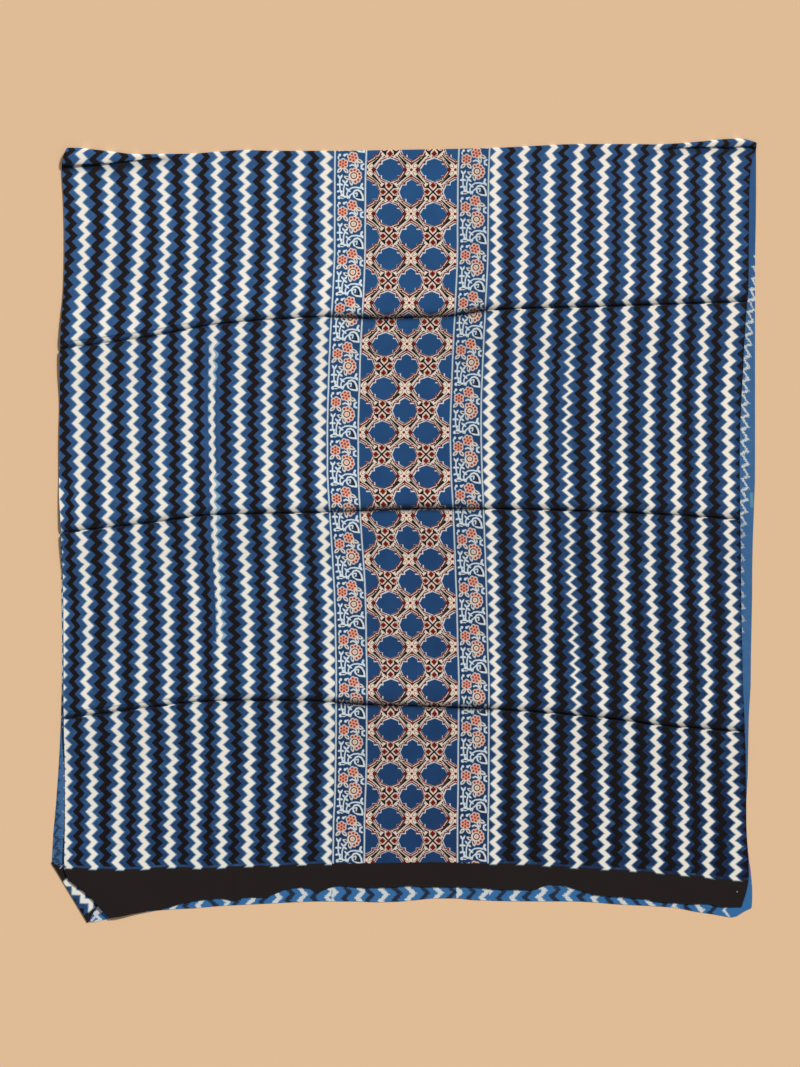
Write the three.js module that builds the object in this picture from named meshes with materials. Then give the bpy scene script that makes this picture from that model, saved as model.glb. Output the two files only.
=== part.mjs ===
// A cut length of block-printed ajrakh cloth, folded once in half across its
// length and laid flat.  The fold is at the top (+Y), both cut ends are at the
// bottom (-Y), the lower layer lies on the surface and the upper layer lies on
// it, a little apart.  The lower layer's bottom left corner is turned up over
// itself, and the upper layer's bottom left corner is turned under.
// Millimetres, +Z up, +X to the right along the fold, origin at the middle of
// the underside.
import * as THREE from 'three';

// ---- driving sizes ---------------------------------------------------------
const CLOTH = 1.0;             // thickness of one layer of the solid
const AIR = 0.7;               // space between two layers
const LAYER = CLOTH + AIR;     // from one layer's middle to the next one's
const LOWER_Z = CLOTH / 2;     // middle of the layer on the surface
const UPPER_Z = LOWER_Z + LAYER;

const COLUMN_STEP = 62;        // widest step between the sheet's columns
const LOWER_ROWS = 7;          // rows up the lower layer, above its turned corner
const FIELD_ROWS = 4;          // rows between two pressed creases
const FOLD_ARC = 5;            // points round the outside of the top fold
const FOLD_RUN = 10;           // points from there down to the flat upper layer

const TURN_TOP = -536.4;       // where the lower layer's turned corner starts
const TUCK_TOP = -544.5;       // where the upper layer's turned-under corner starts
const TUCK_WIDE = 20;          // width of the strip turned under there
const STRIP_END = 2.5;         // what is left of a turned strip at its two ends

// ---- outlines --------------------------------------------------------------
// the two long edges of each layer, from the fold down
const SIDES = [
  { y: 630.5, lowL: -536.4, upL: -536.4, upR: 570.5, lowR: 570.5 },
  { y: 594.8, lowL: -553.4, upL: -555.1, upR: 567.2, lowR: 570.5 },
  { y: 529.9, lowL: -551.0, upL: -552.6, upR: 560.7, lowR: 570.5 },
  { y: 400.1, lowL: -551.0, upL: -552.6, upR: 555.1, lowR: 570.5 },
  { y: 270.2, lowL: -556.7, upL: -559.1, upR: 549.4, lowR: 568.9 },
  { y: 140.4, lowL: -558.3, upL: -560.7, upR: 543.7, lowR: 568.9 },
  { y: 43.0, lowL: -558.3, upL: -559.9, upR: 543.7, lowR: 567.2 },
  { y: -54.4, lowL: -556.7, upL: -555.9, upR: 545.5, lowR: 565.6 },
  { y: -184.2, lowL: -554.3, upL: -552.6, upR: 547.8, lowR: 562.4 },
  { y: -314.1, lowL: -557.5, upL: -552.1, upR: 551.8, lowR: 557.5 },
  { y: -443.9, lowL: -565.6, upL: -551.0, upR: 554.3, lowR: 555.1 },
  { y: -536.4, lowL: -572.1, upL: -551.0, upR: 558.0, lowR: 559.1 },
  { y: -573.7, lowL: -549.4, upL: -521.8, upR: 557.8, lowR: 564.0 },
  { y: -606.2, lowL: -529.7, upL: -495.8, upR: 549.4, lowR: 564.0 },
  { y: -633.8, lowL: -512.9, upL: -465.0, upR: 544.5, lowR: 560.7 },
];
// the fold along the top and the two cut ends along the bottom, left to right
const ENDS = [
  { x: -559.1, fold: 621.6, upEnd: -625.7, lowEnd: -633.8 },
  { x: -513.7, fold: 620.0, upEnd: -625.7, lowEnd: -633.8 },
  { x: -471.5, fold: 615.9, upEnd: -625.7, lowEnd: -626.5 },
  { x: -396.8, fold: 612.2, upEnd: -612.7, lowEnd: -614.3 },
  { x: -331.9, fold: 613.8, upEnd: -598.1, lowEnd: -610.2 },
  { x: -270.2, fold: 618.4, upEnd: -596.5, lowEnd: -606.2 },
  { x: -231.3, fold: 618.7, upEnd: -593.7, lowEnd: -603.8 },
  { x: -185.8, fold: 617.6, upEnd: -579.2, lowEnd: -601.3 },
  { x: -143.6, fold: 617.6, upEnd: -582.7, lowEnd: -599.7 },
  { x: -96.6, fold: 618.0, upEnd: -575.4, lowEnd: -599.7 },
  { x: -7.3, fold: 619.2, upEnd: -576.2, lowEnd: -599.7 },
  { x: 82.0, fold: 620.8, upEnd: -576.5, lowEnd: -595.3 },
  { x: 163.1, fold: 623.2, upEnd: -580.7, lowEnd: -598.9 },
  { x: 236.1, fold: 626.8, upEnd: -572.8, lowEnd: -599.7 },
  { x: 293.0, fold: 628.9, upEnd: -583.5, lowEnd: -600.7 },
  { x: 382.2, fold: 628.1, upEnd: -596.0, lowEnd: -606.2 },
  { x: 463.4, fold: 630.2, upEnd: -604.6, lowEnd: -615.9 },
  { x: 515.3, fold: 635.4, upEnd: -609.4, lowEnd: -622.4 },
  { x: 544.5, fold: 636.2, upEnd: -609.1, lowEnd: -617.6 },
  { x: 572.1, fold: 630.5, upEnd: -602.9, lowEnd: -606.2 },
];

// ---- folds -----------------------------------------------------------------
// the top fold: how high it stands, how far it runs before the upper layer lies
// flat, and how much of that run rolls over itself (0 none, 1 a full roll)
const TOP_FOLD = [
  { x: -554.3, high: 11.0, run: 38.0, rolled: 1.0 },
  { x: -533.2, high: 11.5, run: 44.0, rolled: 1.0 },
  { x: -481.2, high: 10.0, run: 32.0, rolled: 1.0 },
  { x: -432.5, high: 7.0, run: 15.0, rolled: 0.9 },
  { x: -383.8, high: 5.0, run: 18.0, rolled: 0.2 },
  { x: -343.3, high: 3.8, run: 28.0, rolled: 0.0 },
  { x: 382.2, high: 3.8, run: 28.0, rolled: 0.0 },
  { x: 414.7, high: 5.0, run: 16.0, rolled: 0.2 },
  { x: 447.1, high: 6.2, run: 10.0, rolled: 0.8 },
  { x: 487.7, high: 7.4, run: 17.0, rolled: 1.0 },
  { x: 533.2, high: 8.0, run: 22.0, rolled: 1.0 },
  { x: 570.5, high: 7.6, run: 17.0, rolled: 1.0 },
];
// the three creases pressed across the upper layer: where each one runs
const PRESSED = [
  { x: -555.9, first: 294.6, second: -3.7, third: -305.9 },
  { x: -413.1, first: 314.1, second: 12.2, third: -287.4 },
  { x: -307.6, first: 333.5, second: 25.2, third: -276.7 },
  { x: -120.9, first: 346.5, second: 28.4, third: -279.6 },
  { x: 73.8, first: 346.5, second: 34.3, third: -287.7 },
  { x: 317.3, first: 362.7, second: 30.0, third: -303.9 },
  { x: 552.6, first: 370.9, second: 17.0, third: -326.8 },
];
// a section through a pressed crease: up the cloth from it, and how it stands
const CREASE_SECTION = [
  { up: 16.0, rise: 0.2 },
  { up: 6.0, rise: 1.7 },
  { up: 1.5, rise: 2.4 },
  { up: -1.5, rise: 1.0 },
  { up: -7.0, rise: 0.0 },
];
// soft tucks that run down the upper layer
const TUCKS = [
  { name: 'left', x: -305.9, top: 327.0, bottom: -560.0, rise: 2.6, half: 9 },
  { name: 'yoke', x: -31.6, top: 246.0, bottom: -260.0, rise: 1.2, half: 12 },
  { name: 'right', x: 270.2, top: 360.0, bottom: -273.0, rise: 1.8, half: 10 },
];
// broad swells of the upper layer
const SWELLS = [
  { x: -420, y: 470, wide: 150, long: 110, rise: 1.6 },
  { x: 60, y: 500, wide: 240, long: 100, rise: 1.0 },
  { x: 440, y: 520, wide: 120, long: 90, rise: 1.8 },
  { x: -440, y: 180, wide: 110, long: 120, rise: 1.4 },
  { x: 420, y: 190, wide: 130, long: 130, rise: 1.3 },
  { x: 130, y: 150, wide: 120, long: 110, rise: 0.9 },
  { x: -160, y: -120, wide: 130, long: 120, rise: 1.0 },
  { x: 430, y: -150, wide: 130, long: 130, rise: 1.4 },
  { x: -430, y: -150, wide: 120, long: 120, rise: 1.2 },
  { x: 180, y: -440, wide: 200, long: 100, rise: 1.1 },
  { x: -300, y: -430, wide: 150, long: 90, rise: 1.0 },
];
// the turned-up corner of the lower layer: its fold from A to B, and its tip
const TURNED = { ax: -572.1, ay: -536.4, bx: -512.9, by: -633.8, tipX: -481.9, tipY: -580.9 };
const TURN_STATIONS = [0, 0.2, 0.4, 0.6, 0.744, 0.88, 1]; // from B back to A, as shares of the fold
const TUCK_STATIONS = [0, 0.2, 0.4, 0.6, 0.8, 1];

// ---- small helpers ---------------------------------------------------------
const mix = (a, b, t) => a + (b - a) * t;
const clamp01 = (t) => Math.min(1, Math.max(0, t));
const smooth = (t) => { const c = clamp01(t); return c * c * (3 - 2 * c); };

// a column of a table at a place between its rows
function read(table, key, column, value) {
  const rising = table[table.length - 1][key] > table[0][key];
  const rows = rising ? table : [...table].reverse();
  if (value <= rows[0][key]) return rows[0][column];
  for (let i = 1; i < rows.length; i += 1) {
    if (value <= rows[i][key]) {
      const t = (value - rows[i - 1][key]) / (rows[i][key] - rows[i - 1][key]);
      return mix(rows[i - 1][column], rows[i][column], t);
    }
  }
  return rows[rows.length - 1][column];
}

// the place of a layer's column u (0 left, 1 right) on a line y = line(x)
function onLine(layer, u, line) {
  let x = mix(-550, 550, u);
  let y = line(x);
  for (let i = 0; i < 12; i += 1) {
    x = mix(read(SIDES, 'y', `${layer}L`, y), read(SIDES, 'y', `${layer}R`, y), u);
    y = line(x);
  }
  return { x, y };
}

// ---- columns: even steps, with one on each tuck and one at each of its feet --
const middleShare = (x) => (x + 554) / (554 + 549);
const columnShares = (() => {
  const anchors = [0];
  for (const tuck of TUCKS) {
    anchors.push(middleShare(tuck.x - tuck.half), middleShare(tuck.x), middleShare(tuck.x + tuck.half));
  }
  anchors.push(1);
  const shares = [0];
  for (let i = 1; i < anchors.length; i += 1) {
    const steps = Math.max(1, Math.ceil(((anchors[i] - anchors[i - 1]) * 1103) / COLUMN_STEP));
    for (let k = 1; k <= steps; k += 1) shares.push(mix(anchors[i - 1], anchors[i], k / steps));
  }
  return shares;
})();

// ---- how far the upper layer stands above its lowest place -------------------
// how far outside the turned corner's triangle a place is (below 0 inside)
function outsideTurned(x, y) {
  const ring = [
    [TURNED.ax, TURNED.ay], [TURNED.bx, TURNED.by], [TURNED.tipX, TURNED.tipY],
  ];
  let far = -1e9;
  for (let i = 0; i < 3; i += 1) {
    const [px, py] = ring[i];
    const [qx, qy] = ring[(i + 1) % 3];
    const long = Math.hypot(qx - px, qy - py);
    far = Math.max(far, ((qy - py) * (x - px) - (qx - px) * (y - py)) / long);
  }
  return far;
}
// how far a place is inside the upper layer's turned-under corner edge
function insideTuck(x, y) {
  let near = 1e9;
  for (let i = 0; i < 24; i += 1) {
    const edgeY = mix(TUCK_TOP, -625.7, i / 23);
    near = Math.min(near, Math.hypot(x - read(SIDES, 'y', 'upL', edgeY), y - edgeY));
  }
  return near;
}

function relief(u, x, y) {
  let rise = 0;
  for (const tuck of TUCKS) {
    const across = Math.abs(u - middleShare(tuck.x)) * 1103 / tuck.half;
    const along = smooth((tuck.top - y) / 60) * smooth((y - tuck.bottom) / 60);
    rise += tuck.rise * along * smooth(1 - across);
  }
  for (const swell of SWELLS) {
    const far = Math.hypot((x - swell.x) / swell.wide, (y - swell.y) / swell.long);
    rise += swell.rise * smooth(1 - far);
  }
  rise += LAYER * (1 - smooth((outsideTurned(x, y) - 14) / 60));
  rise += LAYER * (1 - smooth((insideTuck(x, y) - TUCK_WIDE - 8) / 50));
  return rise;
}

// ---- the sheet's middle surface ----------------------------------------------
const points = [];             // THREE.Vector3
const quads = [];              // [a, b, c, d] in one sense over the whole sheet
const put = (x, y, z) => { points.push(new THREE.Vector3(x, y, z)); return points.length - 1; };

function sheetColumn(u) {
  const column = [];
  const marks = {};
  // lower layer, from its cut end up
  const lowEnd = (x) => read(ENDS, 'x', 'lowEnd', x);
  for (const share of TURN_STATIONS) {
    const at = onLine('low', u, (x) => mix(lowEnd(x), TURN_TOP, share));
    column.push(put(at.x, at.y, LOWER_Z));
  }
  marks.turned = column.length;
  const foldLine = (x) => read(ENDS, 'x', 'fold', x);
  for (let k = 1; k <= LOWER_ROWS; k += 1) {
    const at = onLine('low', u, (x) => mix(TURN_TOP, foldLine(x) - 30, k / LOWER_ROWS));
    column.push(put(at.x, at.y, LOWER_Z));
  }
  // round the top fold
  const top = onLine('low', u, foldLine);
  const fold = (name) => read(TOP_FOLD, 'x', name, top.x);
  const high = fold('high') - CLOTH / 2;
  const up = (high - LOWER_Z) / 2;
  const out = Math.min(4, up * 0.9);
  const place = (back, z, layer) => {
    const at = onLine(layer, u, (x) => foldLine(x) - CLOTH / 2 - back);
    return put(at.x, at.y, z);
  };
  for (let k = 0; k < FOLD_ARC; k += 1) {
    const turn = mix(-Math.PI / 2, Math.PI / 2, k / (FOLD_ARC - 1));
    column.push(place(out - out * Math.cos(turn), LOWER_Z + up + up * Math.sin(turn), 'low'));
  }
  const run = fold('run');
  const roll = 0.3 * run * fold('rolled');
  for (let k = 1; k <= FOLD_RUN; k += 1) {
    const t = k / FOLD_RUN;
    const back = out + run * t + roll * Math.sin(2 * Math.PI * t);
    column.push(place(back, mix(high, UPPER_Z, smooth((t - 0.05) / 0.95)), t > 0.5 ? 'up' : 'low'));
  }
  // upper layer, from there down over the pressed creases
  const flatFrom = (x) => foldLine(x) - CLOTH / 2 - out - run;
  const lay = (line, extra, share) => {
    const at = onLine('up', u, line);
    const fade = share === undefined ? 1 : smooth(share);
    column.push(put(at.x, at.y, UPPER_Z + fade * (relief(u, at.x, at.y) + extra)));
  };
  let above = flatFrom;
  for (const name of ['first', 'second', 'third']) {
    const crease = (x) => read(PRESSED, 'x', name, x);
    const start = above;
    for (let k = 1; k < FIELD_ROWS; k += 1) {
      const t = k / FIELD_ROWS;
      lay((x) => mix(start(x), crease(x) + CREASE_SECTION[0].up, t), 0, name === 'first' ? t * 2 : undefined);
    }
    for (const row of CREASE_SECTION) lay((x) => crease(x) + row.up, row.rise);
    above = (x) => crease(x) + CREASE_SECTION[CREASE_SECTION.length - 1].up;
  }
  const last = above;
  for (let k = 1; k < FIELD_ROWS; k += 1) {
    lay((x) => mix(last(x), TUCK_TOP, k / FIELD_ROWS), 0);
  }
  marks.tucked = column.length;
  for (const share of TUCK_STATIONS) {
    lay((x) => mix(TUCK_TOP, read(ENDS, 'x', 'upEnd', x), share), 0);
  }
  return { column, marks };
}

const made = columnShares.map(sheetColumn);
const rows = made[0].column.length;
for (let i = 1; i < made.length; i += 1) {
  for (let j = 1; j < rows; j += 1) {
    quads.push([made[i - 1].column[j - 1], made[i].column[j - 1], made[i].column[j], made[i - 1].column[j]]);
  }
}

// a strip that turns over (+1) or under (-1) from an edge and lies back inwards
function turnedStrip(edge, side, wide, flip) {
  const radius = LAYER / 2;
  const lines = edge.map((index, k) => {
    const from = points[index];
    const before = points[edge[Math.max(0, k - 1)]];
    const after = points[edge[Math.min(edge.length - 1, k + 1)]];
    const run = new THREE.Vector2(after.x - before.x, after.y - before.y).normalize();
    let out = new THREE.Vector2(run.y, -run.x);
    if (out.x > 0) out.negate();
    const line = [index];
    for (const turn of [45, 90, 135, 180]) {
      const a = (turn * Math.PI) / 180;
      const far = radius * Math.sin(a);
      line.push(put(from.x + out.x * far, from.y + out.y * far, from.z + side * radius * (1 - Math.cos(a))));
    }
    const inward = wide(k, from);
    for (const share of [0.34, 0.67, 1]) {
      line.push(put(from.x - out.x * inward * share, from.y - out.y * inward * share, from.z + side * LAYER));
    }
    return line;
  });
  for (let k = 1; k < lines.length; k += 1) {
    for (let j = 1; j < lines[k].length; j += 1) {
      const quad = [lines[k - 1][j - 1], lines[k][j - 1], lines[k][j], lines[k - 1][j]];
      quads.push(flip ? quad.reverse() : quad);
    }
  }
}

// the lower layer's corner, turned up: its far edge runs from A to the tip to B
const turnedEdge = made[0].column.slice(0, TURN_STATIONS.length);
const foldLong = Math.hypot(TURNED.bx - TURNED.ax, TURNED.by - TURNED.ay);
const alongX = (TURNED.ax - TURNED.bx) / foldLong;
const alongY = (TURNED.ay - TURNED.by) / foldLong;
const tipAlong = (TURNED.tipX - TURNED.bx) * alongX + (TURNED.tipY - TURNED.by) * alongY;
const tipWide = Math.abs((TURNED.tipX - TURNED.bx) * alongY - (TURNED.tipY - TURNED.by) * alongX);
turnedStrip(turnedEdge, 1, (k, from) => {
  const along = (from.x - TURNED.bx) * alongX + (from.y - TURNED.by) * alongY;
  const share = along < tipAlong ? along / tipAlong : (foldLong - along) / (foldLong - tipAlong);
  return Math.max(STRIP_END, tipWide * clamp01(share));
}, false);

// the upper layer's corner, turned under in a strip that narrows to both ends
const tuckedEdge = made[0].column.slice(made[0].marks.tucked);
turnedStrip(tuckedEdge, -1, (k) => {
  const share = k / (tuckedEdge.length - 1);
  return Math.max(STRIP_END, TUCK_WIDE * Math.sin(Math.PI * share));
}, false);

// ---- one closed solid: both faces of the sheet and its edges -------------------
function thicken() {
  const triangles = [];
  for (const [a, b, c, d] of quads) triangles.push([a, b, c], [a, c, d]);
  const normals = points.map(() => new THREE.Vector3());
  const ab = new THREE.Vector3();
  const ac = new THREE.Vector3();
  for (const [a, b, c] of triangles) {
    ab.subVectors(points[b], points[a]);
    ac.subVectors(points[c], points[a]);
    const n = ab.clone().cross(ac);
    if (n.lengthSq() > 0) n.normalize();
    const corner = [a, b, c];
    for (let k = 0; k < 3; k += 1) {
      const p = points[corner[k]];
      const e = points[corner[(k + 1) % 3]].clone().sub(p).normalize();
      const f = points[corner[(k + 2) % 3]].clone().sub(p).normalize();
      normals[corner[k]].addScaledVector(n, Math.acos(Math.max(-1, Math.min(1, e.dot(f)))));
    }
  }
  for (const n of normals) n.normalize();
  const half = CLOTH / 2;
  const count = points.length;
  const place = new Float32Array(count * 6);
  points.forEach((p, i) => {
    const n = normals[i];
    place.set([p.x + n.x * half, p.y + n.y * half, p.z + n.z * half], i * 3);
    place.set([p.x - n.x * half, p.y - n.y * half, p.z - n.z * half], (count + i) * 3);
  });
  const faces = [];
  const used = new Map();
  for (const [a, b, c] of triangles) {
    faces.push(a, b, c, count + a, count + c, count + b);
    for (const [p, q] of [[a, b], [b, c], [c, a]]) used.set(`${p}_${q}`, [p, q]);
  }
  for (const [p, q] of used.values()) {
    if (!used.has(`${q}_${p}`)) faces.push(q, p, count + p, q, count + p, count + q);
  }
  // faces point out: the signed volume is above zero
  let six = 0;
  for (let i = 0; i < faces.length; i += 3) {
    const [a, b, c] = [faces[i], faces[i + 1], faces[i + 2]].map(
      (k) => new THREE.Vector3(place[k * 3], place[k * 3 + 1], place[k * 3 + 2]),
    );
    six += a.dot(b.cross(c));
  }
  if (six < 0) for (let i = 0; i < faces.length; i += 3) [faces[i], faces[i + 1]] = [faces[i + 1], faces[i]];
  const geometry = new THREE.BufferGeometry();
  geometry.setAttribute('position', new THREE.BufferAttribute(place, 3));
  geometry.setIndex(faces);
  geometry.computeVertexNormals();
  return geometry;
}

const cloth = new THREE.Mesh(
  thicken(),
  new THREE.MeshStandardMaterial({ color: 0x2c5488, roughness: 0.88, metalness: 0 }),
);
cloth.name = 'cloth';

const part = new THREE.Group();
part.add(cloth);

export default part;
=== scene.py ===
# A block-printed ajrakh cloth, folded once in half and laid flat.
# The sheet is modelled as one closed thin mesh on the folds of its CAD solid,
# and its print is made of shader nodes from simple shapes.
import math

import bpy
import numpy as np
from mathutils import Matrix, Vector


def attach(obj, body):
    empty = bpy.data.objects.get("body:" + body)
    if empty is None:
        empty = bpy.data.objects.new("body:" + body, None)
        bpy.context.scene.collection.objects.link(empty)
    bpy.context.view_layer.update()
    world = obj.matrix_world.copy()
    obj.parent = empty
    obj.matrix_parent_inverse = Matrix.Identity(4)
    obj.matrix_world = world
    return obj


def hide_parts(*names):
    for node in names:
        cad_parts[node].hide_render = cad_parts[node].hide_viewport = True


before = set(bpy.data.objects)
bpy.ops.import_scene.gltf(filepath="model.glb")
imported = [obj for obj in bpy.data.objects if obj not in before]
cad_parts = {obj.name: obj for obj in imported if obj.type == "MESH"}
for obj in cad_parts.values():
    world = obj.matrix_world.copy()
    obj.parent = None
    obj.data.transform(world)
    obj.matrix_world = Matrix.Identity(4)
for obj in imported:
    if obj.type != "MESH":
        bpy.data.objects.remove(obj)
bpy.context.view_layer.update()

# ---------------------------------------------------------------------------
# Sizes.  Places on the cloth are given in UNITS of 1.623 mm: "across" to the
# right and "down" towards the cut ends, with the CAD's origin at ORIGIN.
# Heights are in mm.
# ---------------------------------------------------------------------------
UNIT = 1.623
ORIGIN = (404.5, 531.5)
HALF_THICK = 0.25              # half of the cloth's thickness, mm
LOWER_Z = 0.5                  # middle of the layer on the surface
LAYER = 1.7                    # from one layer's middle to the next one's
UPPER_Z = LOWER_Z + LAYER

TURN_TOP = 862.0               # where the lower layer's turned corner starts
TUCK_TOP = 867.0               # where the upper layer's turned-under corner starts
TUCK_WIDE = 20.0               # mm turned under there
STRIP_END = 2.5                # mm left of a turned strip at its two ends

# long edges of the lower and the upper layer, from the fold down
SIDES = [
    {"down": 138, "lowL": 74.0, "upL": 74.0, "upR": 756.0, "lowR": 756.0},
    {"down": 148, "lowL": 68.0, "upL": 67.0, "upR": 756.0, "lowR": 756.0},
    {"down": 158, "lowL": 64.0, "upL": 63.0, "upR": 752.6, "lowR": 756.0},
    {"down": 168, "lowL": 63.0, "upL": 62.0, "upR": 750.6, "lowR": 756.0},
    {"down": 185, "lowL": 63.6, "upL": 62.8, "upR": 749.4, "lowR": 756.0},
    {"down": 205, "lowL": 64.8, "upL": 64.0, "upR": 748.9, "lowR": 756.0},
    {"down": 245, "lowL": 65.6, "upL": 64.8, "upR": 748.7, "lowR": 755.2},
    {"down": 285, "lowL": 64.8, "upL": 64.0, "upR": 748.0, "lowR": 755.0},
    {"down": 325, "lowL": 62.0, "upL": 61.2, "upR": 745.0, "lowR": 755.0},
    {"down": 365, "lowL": 61.0, "upL": 60.2, "upR": 743.2, "lowR": 755.0},
    {"down": 405, "lowL": 60.8, "upL": 60.0, "upR": 741.0, "lowR": 755.0},
    {"down": 445, "lowL": 60.0, "upL": 59.2, "upR": 739.6, "lowR": 755.0},
    {"down": 485, "lowL": 59.6, "upL": 59.2, "upR": 739.5, "lowR": 754.8},
    {"down": 525, "lowL": 60.0, "upL": 61.2, "upR": 740.0, "lowR": 753.2},
    {"down": 565, "lowL": 61.0, "upL": 63.0, "upR": 740.7, "lowR": 752.2},
    {"down": 605, "lowL": 61.8, "upL": 63.6, "upR": 741.2, "lowR": 752.0},
    {"down": 645, "lowL": 62.4, "upL": 63.8, "upR": 742.0, "lowR": 751.0},
    {"down": 685, "lowL": 62.0, "upL": 64.0, "upR": 742.8, "lowR": 750.6},
    {"down": 725, "lowL": 61.0, "upL": 64.4, "upR": 744.2, "lowR": 748.4},
    {"down": 765, "lowL": 59.0, "upL": 65.0, "upR": 745.4, "lowR": 748.0},
    {"down": 805, "lowL": 56.2, "upL": 65.2, "upR": 746.0, "lowR": 746.2},
    {"down": 825, "lowL": 54.4, "upL": 65.2, "upR": 746.2, "lowR": 746.0},
    {"down": 845, "lowL": 52.6, "upL": 65.0, "upR": 747.2, "lowR": 747.2},
    {"down": 862, "lowL": 52.0, "upL": 64.7, "upR": 748.3, "lowR": 749.2},
    {"down": 867, "lowL": 55.0, "upL": 65.0, "upR": 748.5, "lowR": 750.2},
    {"down": 877, "lowL": 61.0, "upL": 68.0, "upR": 748.6, "lowR": 751.2},
    {"down": 883, "lowL": 64.6, "upL": 73.6, "upR": 747.9, "lowR": 751.8},
    {"down": 888, "lowL": 67.6, "upL": 80.6, "upR": 747.0, "lowR": 752.1},
    {"down": 894, "lowL": 71.2, "upL": 88.0, "upR": 745.5, "lowR": 752.2},
    {"down": 900, "lowL": 74.8, "upL": 94.4, "upR": 743.6, "lowR": 752.1},
    {"down": 905, "lowL": 77.8, "upL": 98.6, "upR": 742.0, "lowR": 751.8},
    {"down": 912, "lowL": 82.0, "upL": 105.0, "upR": 741.0, "lowR": 750.6},
    {"down": 922, "lowL": 88.0, "upL": 117.0, "upR": 740.0, "lowR": 749.0},
]
# the top fold, left to right
FOLD = [
    {"across": 60, "down": 149.5}, {"across": 68, "down": 148.2}, {"across": 78, "down": 148.3},
    {"across": 95, "down": 150.0}, {"across": 115, "down": 152.2}, {"across": 135, "down": 154.4},
    {"across": 155, "down": 154.2}, {"across": 195, "down": 153.6}, {"across": 215, "down": 152.0},
    {"across": 245, "down": 150.2}, {"across": 275, "down": 151.0}, {"across": 335, "down": 151.0},
    {"across": 395, "down": 150.0}, {"across": 455, "down": 149.0}, {"across": 495, "down": 148.0},
    {"across": 535, "down": 146.0}, {"across": 575, "down": 144.3}, {"across": 635, "down": 144.2},
    {"across": 655, "down": 144.6}, {"across": 680, "down": 143.4}, {"across": 700, "down": 141.8},
    {"across": 720, "down": 139.8}, {"across": 738, "down": 138.8}, {"across": 748, "down": 140.2},
    {"across": 757, "down": 143.2},
]
# the two cut ends, left to right: first the upper layer's, then the lower one's
UPPER_END = [
    {"across": 60, "down": 917.0}, {"across": 114, "down": 917.0}, {"across": 137, "down": 912.6},
    {"across": 160, "down": 909.0}, {"across": 170, "down": 907.0}, {"across": 180, "down": 903.8},
    {"across": 188, "down": 901.8}, {"across": 203, "down": 899.8}, {"across": 217, "down": 898.2},
    {"across": 227, "down": 899.4}, {"across": 234, "down": 900.8}, {"across": 241, "down": 897.4},
    {"across": 263, "down": 897.3}, {"across": 274, "down": 894.2}, {"across": 282, "down": 890.6},
    {"across": 289, "down": 888.4}, {"across": 300, "down": 887.5}, {"across": 311, "down": 888.6},
    {"across": 316, "down": 892.6}, {"across": 321, "down": 891.2}, {"across": 328, "down": 888.2},
    {"across": 341, "down": 885.7}, {"across": 357, "down": 887.5}, {"across": 387, "down": 887.5},
    {"across": 407, "down": 885.7}, {"across": 430, "down": 887.0}, {"across": 466, "down": 886.6},
    {"across": 484, "down": 888.0}, {"across": 504, "down": 889.3}, {"across": 533, "down": 889.7},
    {"across": 542, "down": 886.6}, {"across": 550, "down": 884.4}, {"across": 564, "down": 885.7},
    {"across": 573, "down": 888.4}, {"across": 584, "down": 891.0}, {"across": 596, "down": 895.0},
    {"across": 610, "down": 896.0}, {"across": 627, "down": 897.3}, {"across": 645, "down": 899.0},
    {"across": 658, "down": 901.8}, {"across": 672, "down": 902.7}, {"across": 694, "down": 904.0},
    {"across": 706, "down": 903.5}, {"across": 723, "down": 907.0}, {"across": 741, "down": 906.7},
    {"across": 749, "down": 903.0},
]
LOWER_END = [
    {"across": 50, "down": 922.0}, {"across": 94, "down": 922.0}, {"across": 104, "down": 919.6},
    {"across": 115, "down": 917.4}, {"across": 135, "down": 913.6}, {"across": 155, "down": 910.6},
    {"across": 175, "down": 909.0}, {"across": 195, "down": 908.0}, {"across": 215, "down": 906.2},
    {"across": 235, "down": 905.0}, {"across": 255, "down": 904.0}, {"across": 275, "down": 903.0},
    {"across": 295, "down": 902.0}, {"across": 315, "down": 901.2}, {"across": 355, "down": 901.2},
    {"across": 375, "down": 902.0}, {"across": 395, "down": 901.6}, {"across": 415, "down": 900.0},
    {"across": 435, "down": 898.2}, {"across": 455, "down": 898.2}, {"across": 475, "down": 900.0},
    {"across": 515, "down": 901.0}, {"across": 575, "down": 901.2}, {"across": 595, "down": 902.2},
    {"across": 615, "down": 904.0}, {"across": 635, "down": 905.0}, {"across": 655, "down": 906.0},
    {"across": 675, "down": 907.6}, {"across": 695, "down": 911.4}, {"across": 715, "down": 914.4},
    {"across": 733, "down": 917.2}, {"across": 745, "down": 911.0}, {"across": 757, "down": 905.5},
]
# the top fold's roll: height, run back and how much it rolls over itself
TOP_ROLL = [
    {"across": 63, "high": 10.4, "run": 39.0, "rolled": 1.00},
    {"across": 76, "high": 11.2, "run": 41.0, "rolled": 1.00},
    {"across": 92, "high": 10.2, "run": 35.0, "rolled": 1.00},
    {"across": 108, "high": 8.8, "run": 28.5, "rolled": 1.00},
    {"across": 124, "high": 7.2, "run": 19.5, "rolled": 1.00},
    {"across": 138, "high": 6.0, "run": 13.0, "rolled": 0.90},
    {"across": 153, "high": 5.2, "run": 10.0, "rolled": 0.60},
    {"across": 168, "high": 4.6, "run": 15.0, "rolled": 0.25},
    {"across": 193, "high": 3.9, "run": 28.0, "rolled": 0.00},
    {"across": 420, "high": 3.6, "run": 28.0, "rolled": 0.00},
    {"across": 640, "high": 3.9, "run": 28.0, "rolled": 0.00},
    {"across": 660, "high": 4.8, "run": 15.0, "rolled": 0.30},
    {"across": 680, "high": 6.0, "run": 8.5, "rolled": 0.95},
    {"across": 705, "high": 7.0, "run": 11.5, "rolled": 1.00},
    {"across": 733, "high": 7.6, "run": 18.0, "rolled": 1.00},
    {"across": 756, "high": 7.0, "run": 9.5, "rolled": 1.00},
]
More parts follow.
